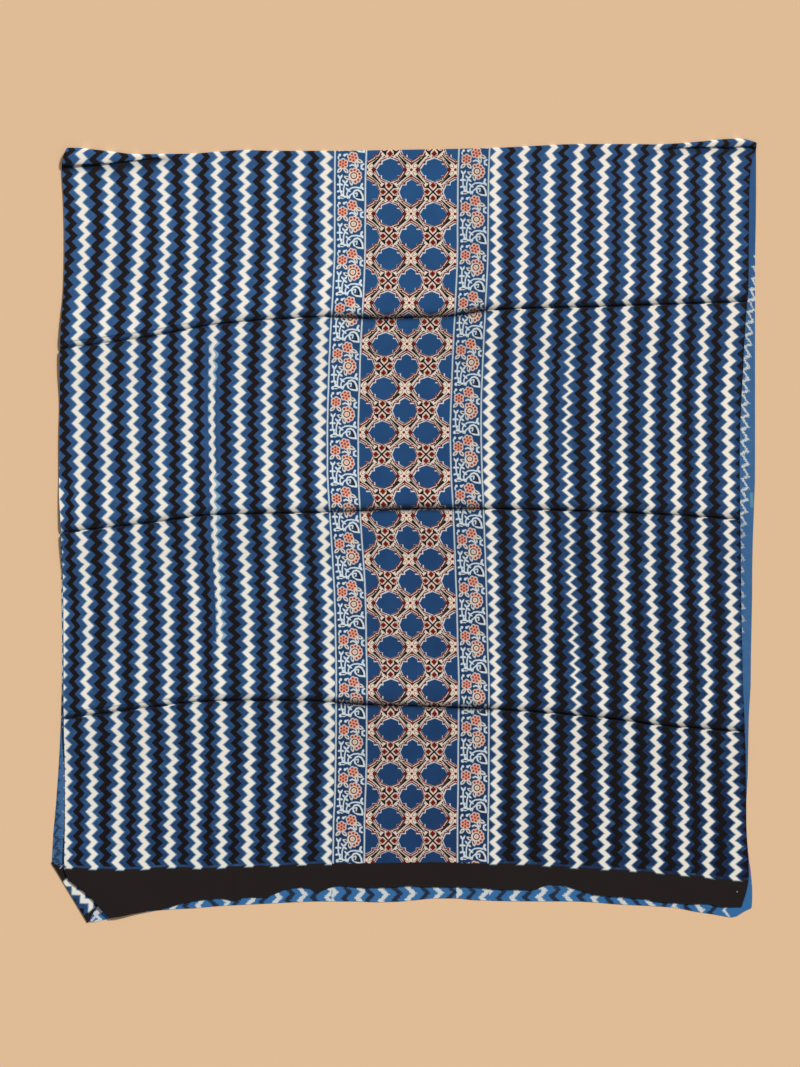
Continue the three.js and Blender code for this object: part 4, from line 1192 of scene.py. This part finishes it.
VEINS = [               # small black strokes: from x, y to x, y, half width
    {"a": (23.2, 12.5), "b": (24.9, 13.3), "half": 0.5}, {"a": (20.9, 15.0), "b": (21.7, 16.4), "half": 0.5},
    {"a": (5.4, 21.6), "b": (4.2, 22.9), "half": 0.45}, {"a": (10.2, 21.6), "b": (11.5, 23.0), "half": 0.5},
    {"a": (11.8, 29.3), "b": (13.2, 29.9), "half": 0.7}, {"a": (16.0, 32.6), "b": (16.5, 34.6), "half": 0.6},
    {"a": (5.6, 48.5), "b": (8.6, 48.9), "half": 0.55},
    {"a": (22.8, 43.4), "b": (25.0, 45.6), "half": 0.6}, {"a": (25.0, 45.6), "b": (26.3, 49.4), "half": 0.85},
    {"a": (21.2, 48.9), "b": (26.2, 49.8), "half": 0.65},
]


def leaf(g, p, ax, ay, bx, by, half_wide):
    """a pointed leaf from a to b: where two discs cross"""
    mx, my = (ax + bx) / 2, (ay + by) / 2
    dx, dy = (bx - ax) / 2, (by - ay) / 2
    long = (dx * dx + dy * dy) ** 0.5
    off = (long * long - half_wide * half_wide) / (2 * half_wide)
    nx, ny = -dy / long, dx / long
    r = off + half_wide
    return g.max(g.dist(p, mx + nx * off, my + ny * off), g.dist(p, mx - nx * off, my - ny * off)) - r


def union(g, *groups):
    """the nearest of many shapes; each is joined as soon as it is made"""
    found = None
    for shapes in groups:
        for d in shapes:
            found = d if found is None else g.min(found, d)
    return found


def again(tall, *places):
    """a shape that crosses the joint of the repeat is drawn on both sides of it"""
    ys = [y for _, y in places]
    shifts = [0.0]
    if max(ys) > tall - 2.6:
        shifts.append(-tall)
    if min(ys) < 2.6:
        shifts.append(tall)
    return shifts


def floral(g, x, y, dye):
    """one border strip"""
    p = g.vec(x, g.wrap(y, STRIP_ROW))

    def discs(places, r):
        for q in places:
            for s in again(STRIP_ROW, q):
                yield g.dist(p, q[0], q[1] + s) - r

    def strokes(table, more=0.0):
        for q in table:
            for s in again(STRIP_ROW, q["a"], q["b"]):
                yield g.seg(p, q["a"][0], q["a"][1] + s, q["b"][0], q["b"][1] + s, q["half"] + more)

    def leaves(vein):
        for q in LEAVES:
            if q["vein"] == vein:
                for s in again(STRIP_ROW, q["a"], q["b"]):
                    yield leaf(g, p, q["a"][0], q["a"][1] + s, q["b"][0], q["b"][1] + s, q["half"])

    def spots():
        for q in SPOTS:
            yield from discs([(q["x"], q["y"])], q["r"])

    petals = []
    for flower in ROUND_FLOWERS:
        for k in range(6):
            a = flower["turn"] + k * math.pi / 3
            petals.append((flower["x"] + flower["ring"] * math.cos(a), flower["y"] + flower["ring"] * math.sin(a)))
    hearts = [(f["x"], f["y"]) for f in ROUND_FLOWERS]
    half_petals = [(f["x"], f["y"]) for f in HALF_FLOWER]
    # stems and small leaves in the pale blue of a bleeding resist
    fine = union(g, strokes(STEMS, 0.0), leaves(0), spots())
    colour = g.mix(g.cover(fine - 0.1, 0.7), dye["blue"], dye["stem"])
    white = union(g, discs(petals, 2.25), discs(half_petals, 2.2), discs(hearts, 3.4), discs([(18.9, 27.6)], 5.1), leaves(1))
    colour = g.mix(g.cover(white - 0.1, 0.8), colour, dye["halo"])
    colour = g.mix(g.cover(white + 0.35, 0.5), colour, dye["cream"])
    pink = union(g, discs(petals, 1.7), discs(half_petals, 1.6), discs(hearts, 2.2))
    colour = g.mix(g.cover(pink, 0.8), colour, dye["pink"])
    eye = g.dist(p, 18.9, 27.6)
    colour = g.mix(g.cover(eye - 4.2, 0.5), colour, dye["cream"])
    red = union(g, discs(petals, 0.95), discs(half_petals, 1.0), discs(hearts, 0.95), discs([(16.6, 19.4)], 0.8))
    colour = g.mix(g.cover(red, 0.6), colour, dye["red"])
    colour = g.mix(g.cover(eye - 1.0, 0.9), colour, dye["pink"])
    black = g.min(g.abs(eye - 2.95) - 0.52, union(g, strokes(VEINS)))
    return g.mix(g.cover(black, 0.5), colour, dye["black"])


def lattice(g, x, y, dye, slip_x, slip_y):
    """the lattice, from a flower at the origin; slip is how far the madder and the
    black blocks were set from the white one"""
    a, b = LAT_X, LAT_Y

    def quarter(px, py):
        qx, qy = g.pingpong(px, a), g.pingpong(py, b)
        right, below = qx * -1.0 + a, qy * -1.0 + b

        def medallion(dx, dy, w1, t1, k1, w2, t2, k2):
            side = g.max(dx - w1, (dy + dx * k1 - t1) / (1 + k1 * k1) ** 0.5)
            end = g.max(dy - w2, (dx + dy * k2 - t2) / (1 + k2 * k2) ** 0.5)
            return g.min(side, end)

        far = g.min(medallion(right, qy, 7.5, 11.4, 0.38, 5.3, 13.4, 0.62),
                    medallion(qx, below, 4.9, 12.3, 0.58, 6.6, 12.0, 0.42))
        return qx, qy, right, below, g.vec(qx, qy), far - 0.15

    def knot(right, below):
        """how far from the knot's crossed arms and their fans"""
        along = (right + below) * 0.7071
        aside = g.abs(right - below) * 0.7071
        arm = g.max(aside - 0.85, along - 7.4)
        fan = g.max(along - 8.9, (aside - along * 0.95 + 4.7) * 0.72)
        return g.min(arm, fan)

    # the white block
    _, _, right0, below0, p0, out0 = quarter(x, y)
    loops = g.min(g.dist(p0, a - 9.0, 6.7), g.dist(p0, 6.3, b - 8.0)) - 1.35
    # the madder and black blocks
    qx, qy, right, below, p, out1 = quarter(x + slip_x, y + slip_y)
    madder_loops = g.min(g.dist(p, a - 9.6, 7.2), g.dist(p, 6.9, b - 8.6)) - 0.85

    def diamond(cx, cy, rx, ry):
        return (g.abs(qx - cx) / rx + g.abs(qy - cy) / ry - 1.0) * (rx * ry / (rx * rx + ry * ry) ** 0.5)

    tint = g.abs(out1 - 1.05) - 0.6
    colour = g.mix(g.cover(g.min(out0 - 0.9, loops), 0.5), dye["cream"], dye["pale"])
    colour = g.mix(g.cover(tint, 0.6), colour, dye["madder"])
    colour = g.mix(g.cover(g.abs(out1 - 3.0) - 0.72, 0.5), colour, dye["brown"])
    # white beside the black stems and round the knots
    stem0 = g.seg_taper(p0, 5.0, 5.0, 14.2, 14.2, 2.1, 1.2)
    colour = g.mix(g.cover(g.min(stem0, knot(right0, below0) - 0.8), 0.4), colour, dye["grey"])
    # madder diamonds of the knot, and the ones at the flower
    beads = g.min(diamond(a, b - 6.5, 2.9, 3.3), diamond(a - 5.9, b, 3.2, 2.8))
    colour = g.mix(g.cover(beads - 0.5, 0.5), colour, dye["pink"])
    beads = g.min(beads, g.min(diamond(6.8, 0.0, 2.9, 2.3), diamond(0.0, 6.0, 1.9, 1.9)))
    colour = g.mix(g.cover(g.min(beads, madder_loops), 0.5), colour, dye["maroon"])
    # petals
    petal = leaf(g, p, 1.9, 1.9, 6.9, 6.9, 1.5)
    colour = g.mix(g.cover(petal - 0.45, 0.5), colour, dye["black"])
    colour = g.mix(g.cover(petal + 0.1, 0.4), colour, dye["petal"])
    colour = g.mix(g.cover(leaf(g, p, 3.2, 3.2, 6.2, 6.2, 0.5), 0.7) * 0.35, colour, dye["vein"])
    heart = g.dist(p, 0.0, 0.0)
    colour = g.mix(g.cover(heart - 2.5, 0.6), colour, dye["cream"])
    colour = g.mix(g.cover(heart - 1.4, 0.5), colour, dye["maroon"])
    # black stems, forked round the petals' tips, and the knots
    stem = g.min(g.seg_taper(p, 6.2, 6.2, 13.6, 13.6, 1.45, 0.5), g.dist(p, 13.4, 13.4) - 0.8)
    colour = g.mix(g.cover(g.min(stem, knot(right, below)), 0.45), colour, dye["black"])
    # the medallions' indigo; madder that slipped onto it turns dark
    inside = g.mix(g.cover(tint, 0.6) * 0.9, dye["blue"], dye["over"])
    return g.mix(g.cover(g.max(out0, loops * -1.0), 0.5), colour, inside)


# ---------------------------------------------------------------------------
# Dyes.  The indigo is drawn lighter at the top left and darker at the bottom right.
# ---------------------------------------------------------------------------
def indigo(net, across, down, top=(54, 90, 138), low=(23, 39, 74)):
    t = net.math("MULTIPLY_ADD", down, 1.0 / 700.0, -160.0 / 700.0)
    t = t * 0.62 + (across * (1.0 / 690.0) - 60.0 / 690.0) * 0.38
    cloudy = net.noise(net.vec(across, down, 3.0), 0.035, 2.0)
    t = net.math("MULTIPLY_ADD", cloudy, 0.5, t - 0.25, clamp=True)
    return net.mix(t, linear(top), linear(low))


def zigzag(net, u, v, half_wide, swing, seed, place=0.0):
    """distance to the nearest of the zigzags, each block varied by its own dice"""
    shifted = u + (ZIG_COL / 2 - place)
    number = net.math("FLOOR", shifted / ZIG_COL)
    local = net.wrap(shifted, ZIG_COL) - ZIG_COL / 2
    block = net.math("FLOOR", v / (ZIG_ROW * 7) + number * 0.37)
    d0, d1, d2 = net.dice(net.vec(number, block, seed))
    sway = (net.noise(net.vec(number * 3.7, v * 0.03, seed), 1.0, 1.0) - 0.5) * 2.4
    local = local + sway
    turn = net.pingpong(v + (d2 - 0.5) * 0.5, ZIG_ROW / 2) * (4 * swing / ZIG_ROW) - swing
    turn = net.min(net.max(turn, -swing * 0.94), swing * 0.94)
    off = net.abs(local - turn + (d0 - 0.5) * 0.9) - (d1 * 0.5 + (half_wide - 0.25))
    return off * 0.704


def marks(net, colour, across, down):
    """a pale stain, the selvedge's pink dye, a speck and a frayed end of thread"""
    p = net.vec(across, down)
    colour = net.mix(net.cover(net.seg(p, 751.4, 494.0, 752.0, 506.0, 1.3), 2.6) * 0.55, colour, linear((112, 176, 184)))
    grain = net.noise(p, 0.5, 2.0)
    pink = net.min(net.seg(p, 748.6, 853.0, 749.6, 864.0, 0.8), net.seg(p, 749.6, 866.0, 751.4, 876.0, 0.9))
    colour = net.mix(net.cover(pink + grain * 1.4 - 0.5, 0.8) * 0.7, colour, linear((150, 84, 150)))
    thread = net.min(net.seg(p, 60.2, 868.2, 63.6, 864.4, 0.35), net.seg(p, 63.8, 864.2, 64.8, 869.6, 0.35))
    thread = net.min(thread, net.dist(p, 737.0, 891.5) - 0.5)
    thread = net.min(thread, net.seg(p, 91.8, 920.6, 99.2, 911.6, 1.1))
    return net.mix(net.cover(thread, 0.5) * 0.85, colour, linear((206, 192, 200)))


made_materials = []

# ---- the two zigzag fields ----------------------------------------------------
net = Net("zigzag_field")
across, down = net.uv("Lay")
u, v = net.uv("Print")
v_black, band = net.uv("Blocks")
rag = net.noise(net.vec(across, down), 0.42, 1.0) - 0.5
blue = indigo(net, across, down)
mottle = net.noise(net.vec(across, down, 9.0), 0.16, 2.0)
blue = net.mix(net.math("MULTIPLY_ADD", mottle, 2.4, -1.2, clamp=True) * 0.55, blue, linear((66, 116, 160)))
# painted shade at the creases and painted shadow under the roll darken the indigo
fold_shade, _ = net.uv("Folds")
blue = net.mix(fold_shade * 0.9, blue, linear((12, 20, 38)))
# the black blocks were set a little to the left in the right field, and printed
# fuller down the cloth; the last zigzag, at the edge, is thin
right_field = net.math("MULTIPLY_ADD", across, 1.0 / 60.0, -450.0 / 60.0, clamp=True)
far_black = zigzag(net, u + right_field * 0.75, v_black, 3.6, 3.0, 5.0, ZIG_COL / 2) + rag * 0.6
fuller = net.math("MULTIPLY_ADD", down, 1.0 / 500.0, -0.3, clamp=True)
far_black = far_black + right_field * (fuller * -0.9 + 0.45)
last = net.math("MULTIPLY_ADD", u, 0.6, -6.1 * ZIG_COL, clamp=True)
far_black = far_black + last * 0.35
far_black = net.max(far_black, band + 2.2)
black = net.mix(net.math("MULTIPLY_ADD", down, 1 / 700, -0.23, clamp=True), linear((31, 26, 27)), linear((19, 17, 19)))
colour = net.mix(net.cover(far_black, 0.7), blue, black)
far_white = zigzag(net, u, v, 3.3, 3.05, 2.0) + rag * 0.6
# the fourth zigzag of the right field is narrower along a soft tuck
fourth = net.max(net.abs(u - 4.0 * ZIG_COL) - 10.0, net.max(490.0 - across, net.abs(down - 520.0) - 210.0))
far_white = far_white + net.math("MULTIPLY_ADD", fourth, -0.1, 0.0, clamp=True) * 0.8
# the sixth zigzag of the left field lost its right points to a soft pleat in the
# cloth as it was printed; lower down they come back, paler
beside = u - 6.0 * ZIG_COL
wave = net.pingpong(v, ZIG_ROW / 2) * (4.4 / ZIG_ROW) - 1.1
narrow = net.math("MULTIPLY_ADD", down, 1.0 / 62.0, -336.0 / 62.0, clamp=True)
lost = net.max(narrow * -3.7 + 5.6 - beside + wave + rag * 0.8, down - 474.0)
lost = net.max(net.max(lost, 332.0 - down), net.max(net.abs(beside) - 11.0, across - 400.0))
sixth = net.max(net.abs(beside) - 11.0, net.max(across - 400.0, net.abs(down - 492.0) - 150.0))
within = net.math("MULTIPLY_ADD", sixth, -0.4, 0.0, clamp=True)
slim = net.abs(beside + 0.4 - wave * 1.5) - 2.2 + rag * 0.5
far_white = net.max(net.max(far_white, lost * -1.0), net.min(beside * -1.0 - 3.6, sixth * -1.0))
core = far_white + (slim - far_white) * within
core = net.max(core, band - 1.0)
far_white = net.max(far_white, band - 1.0)
band_edge = net.noise(net.vec(across, 3.0), 0.11, 2.0) * 1.6 - 0.8
colour = net.mix(net.cover((band + band_edge) * -1.0, 0.8), colour, linear((33, 28, 27)))
colour = net.mix(net.cover(far_white - 0.45, 1.3) * (right_field * -0.35 + 0.85), colour, linear((142, 182, 203)))
white = net.mix(net.math("MULTIPLY_ADD", down, 1 / 700, -0.23, clamp=True), linear((244, 234, 222)), linear((229, 222, 211)))
# the painted crease shade and roll shadow dim the white too
white = net.mix(fold_shade * 0.3, white, linear((60, 64, 82)))
colour = net.mix(net.cover(core + 0.3, 0.8), colour, white)
made_materials.append(net.finish(marks(net, colour, across, down), across, down))

# ---- the two floral borders -----------------------------------------------------
def plain_end(net, colour, across, band):
    """the plain black band over the end of the print"""
    edge = net.noise(net.vec(across, 3.0), 0.11, 2.0) * 1.6 - 0.8
    return net.mix(net.cover((band + edge) * -1.0, 0.8), colour, linear((33, 28, 27)))


net = Net("floral_border")
across, down = net.uv("Lay")
u, v = net.uv("Print")
_, band = net.uv("Blocks")
blue = indigo(net, across, down, (44, 82, 126), (19, 43, 82))
fold_shade, _ = net.uv("Folds")
wave = net.noise(net.vec(across * 0.02, down), 0.06, 2.0) - 0.5
rag = net.noise(net.vec(across, down), 0.5, 1.0) - 0.5
dye = {"blue": blue}
for name, rgb in (
    ("stem", (222, 234, 239)), ("halo", (214, 226, 233)), ("cream", (234, 214, 196)), ("pink", (228, 150, 126)),
    ("red", (140, 44, 34)), ("black", (38, 30, 28)),
):
    dye[name] = linear(rgb)
colour = floral(net, u + rag * 0.5, v + wave * 0.8, dye)
lines = net.min(net.abs(u + wave * 0.7), net.abs(u - STRIP_WIDE + wave * 0.7)) - 0.72
colour = net.mix(net.cover(lines + rag * 0.3, 0.7), colour, linear((204, 216, 222)))
# the colours are drawn darker down the cloth, and darker in the right-hand border
darkening_gradient = net.math("MULTIPLY_ADD", down, 1.0 / 700.0, across * (1.0 / 150.0) - 160.0 / 700.0 - 350.0 / 150.0, clamp=True)
colour = net.mix(darkening_gradient * 0.2, colour, linear((30, 40, 60)))
# painted shade at the creases and painted shadow under the roll
colour = net.mix(fold_shade * 0.72, colour, linear((14, 20, 36)))
made_materials.append(net.finish(plain_end(net, colour, across, band), across, down))

# ---- the lattice ---------------------------------------------------------------
net = Net("lattice_yoke")
across, down = net.uv("Lay")
u, v = net.uv("Print")
_, band = net.uv("Blocks")
blue = indigo(net, across, down, (42, 86, 134), (24, 52, 94))
fold_shade, _ = net.uv("Folds")
dye = {"blue": blue}
for name, rgb in (
    ("cream", (239, 214, 195)), ("pale", (208, 220, 228)), ("pink", (228, 182, 160)), ("maroon", (106, 24, 23)),
    ("madder", (112, 36, 32)), ("brown", (74, 30, 26)), ("black", (30, 24, 22)), ("vein", (120, 118, 100)),
    ("grey", (226, 212, 199)), ("petal", (236, 226, 206)), ("over", (78, 30, 44)),
):
    dye[name] = linear(rgb)
rag = net.noise(net.vec(across, down), 0.5, 1.0) - 0.5
slip_a = net.noise(net.vec(across * 0.2, down, 40.0), 0.018, 1.0) * 2.4 - 0.9
slip_b = net.noise(net.vec(across * 0.2, down, 80.0), 0.022, 1.0) * 2.4 - 0.7
colour = lattice(net, u + rag * 0.4, v + rag * 0.3, dye, slip_a, slip_b)
# the colours are drawn darker down the cloth
darkening_gradient = net.math("MULTIPLY_ADD", down, 1.0 / 700.0, -160.0 / 700.0, clamp=True)
colour = net.mix(darkening_gradient * 0.16, colour, linear((30, 30, 42)))
# painted shade at the creases and painted shadow under the roll
colour = net.mix(fold_shade * 0.72, colour, linear((14, 20, 34)))
made_materials.append(net.finish(plain_end(net, colour, across, band), across, down))

# ---- the reverse ----------------------------------------------------------------
net = Net("cloth_reverse")
across, down = net.uv("Lay")
u, v = net.uv("Print")
v_black, band = net.uv("Blocks")
blue = net.mix(net.noise(net.vec(across, down, 1.0), 0.12, 3.0), linear((50, 92, 138)), linear((68, 108, 150)))
upper_right = net.math("MULTIPLY_ADD", down, -1.0 / 60.0, 310.0 / 60.0, clamp=True) * 0.6
blue = net.mix(upper_right, blue, linear((40, 76, 124)))
spots = net.noise(net.vec(across, down, 7.0), 0.55, 2.0)
# the dye came through least at the right edge and most at the cut end
at_right = net.math("MULTIPLY_ADD", across, 1.0 / 40.0, -690.0 / 40.0, clamp=True)
at_end = net.math("MULTIPLY_ADD", down, 1.0 / 16.0, -876.0 / 16.0, clamp=True)
right_low = at_right * net.math("MULTIPLY_ADD", down, 1.0 / 16.0, -512.0 / 16.0, clamp=True)
blue = net.mix(at_end * 0.6, blue, linear((46, 106, 162)))
broken = 9.0 - at_end * 5.4 - at_right * (1.0 - at_end) * 4.0
corner = net.math("MULTIPLY_ADD", across, 1.0 / 6.0, -727.0 / 6.0, clamp=True) * at_end
far_black = zigzag(net, u, v_black, 3.3, 3.0, 5.0, ZIG_COL / 2) + (spots - 0.42) * broken
share = (1.0 - at_right * (1.0 - at_end)) * (at_end * 0.2 + 0.75) * (1.0 - corner)
colour = net.mix(net.cover(far_black, 1.2) * share, blue, linear((34, 38, 50)))
far_white = zigzag(net, u, v, 3.1, 3.05, 2.0) + (0.56 - spots) * broken
far_white = far_white + at_right * 0.9
share = net.math("MULTIPLY_ADD", right_low * (1.0 - at_end), -0.35, 0.85) * (1.0 - corner)
colour = net.mix(net.cover(far_white, 1.2) * share, colour, linear((212, 216, 212)))
made_materials.append(net.finish(marks(net, colour, across, down), across, down))

for material in made_materials:
    cloth.data.materials.append(material)

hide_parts("cloth")
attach(cloth, "root")

# ---------------------------------------------------------------------------
# Floor, light and camera.
# ---------------------------------------------------------------------------
bpy.ops.mesh.primitive_plane_add(size=14.0, location=(0.0, 0.0, 0.0))
floor = bpy.context.object
floor.name = "floor"
floor_material = bpy.data.materials.new("plain_floor")
floor_material.use_nodes = True
floor_shader = floor_material.node_tree.nodes["Principled BSDF"]
floor_shader.inputs["Base Color"].default_value = linear((223, 188, 151))
floor_shader.inputs["Roughness"].default_value = 0.9
floor_shader.inputs["Specular IOR Level"].default_value = 0.2
floor.data.materials.append(floor_material)

scene = bpy.context.scene
scene.view_settings.view_transform = "Standard"
scene.view_settings.look = "None"
scene.view_settings.exposure = 0.0
scene.view_settings.gamma = 1.0

world = bpy.data.worlds.new("soft_surroundings")
world.use_nodes = True
world.node_tree.nodes["Background"].inputs["Color"].default_value = (1.0, 0.99, 0.975, 1.0)
world.node_tree.nodes["Background"].inputs["Strength"].default_value = 0.30
scene.world = world

# one wide soft lamp, far off at the upper right
lamp = bpy.data.lights.new("key", "SUN")
lamp.energy = 3.62
lamp.angle = math.radians(8.0)
lamp.color = (1.0, 0.985, 0.96)
key = bpy.data.objects.new("key", lamp)
key.location = (2.2, 2.7, 2.7)
key.rotation_euler = Vector((-2.2, -2.7, -2.7)).to_track_quat("-Z", "Y").to_euler()
scene.collection.objects.link(key)

camera_data = bpy.data.cameras.new("camera")
camera_data.lens = 85.0
camera_data.sensor_width = 36.0
camera = bpy.data.objects.new("camera", camera_data)
FRAME_TALL = 1067 * UNIT / 1000.0
camera.location = (
    (400.0 - ORIGIN[0]) * UNIT / 1000.0, (ORIGIN[1] - 533.5) * UNIT / 1000.0, FRAME_TALL * 85.0 / 36.0,
)
camera.rotation_euler = (0.0, 0.0, 0.0)
scene.collection.objects.link(camera)
scene.camera = camera
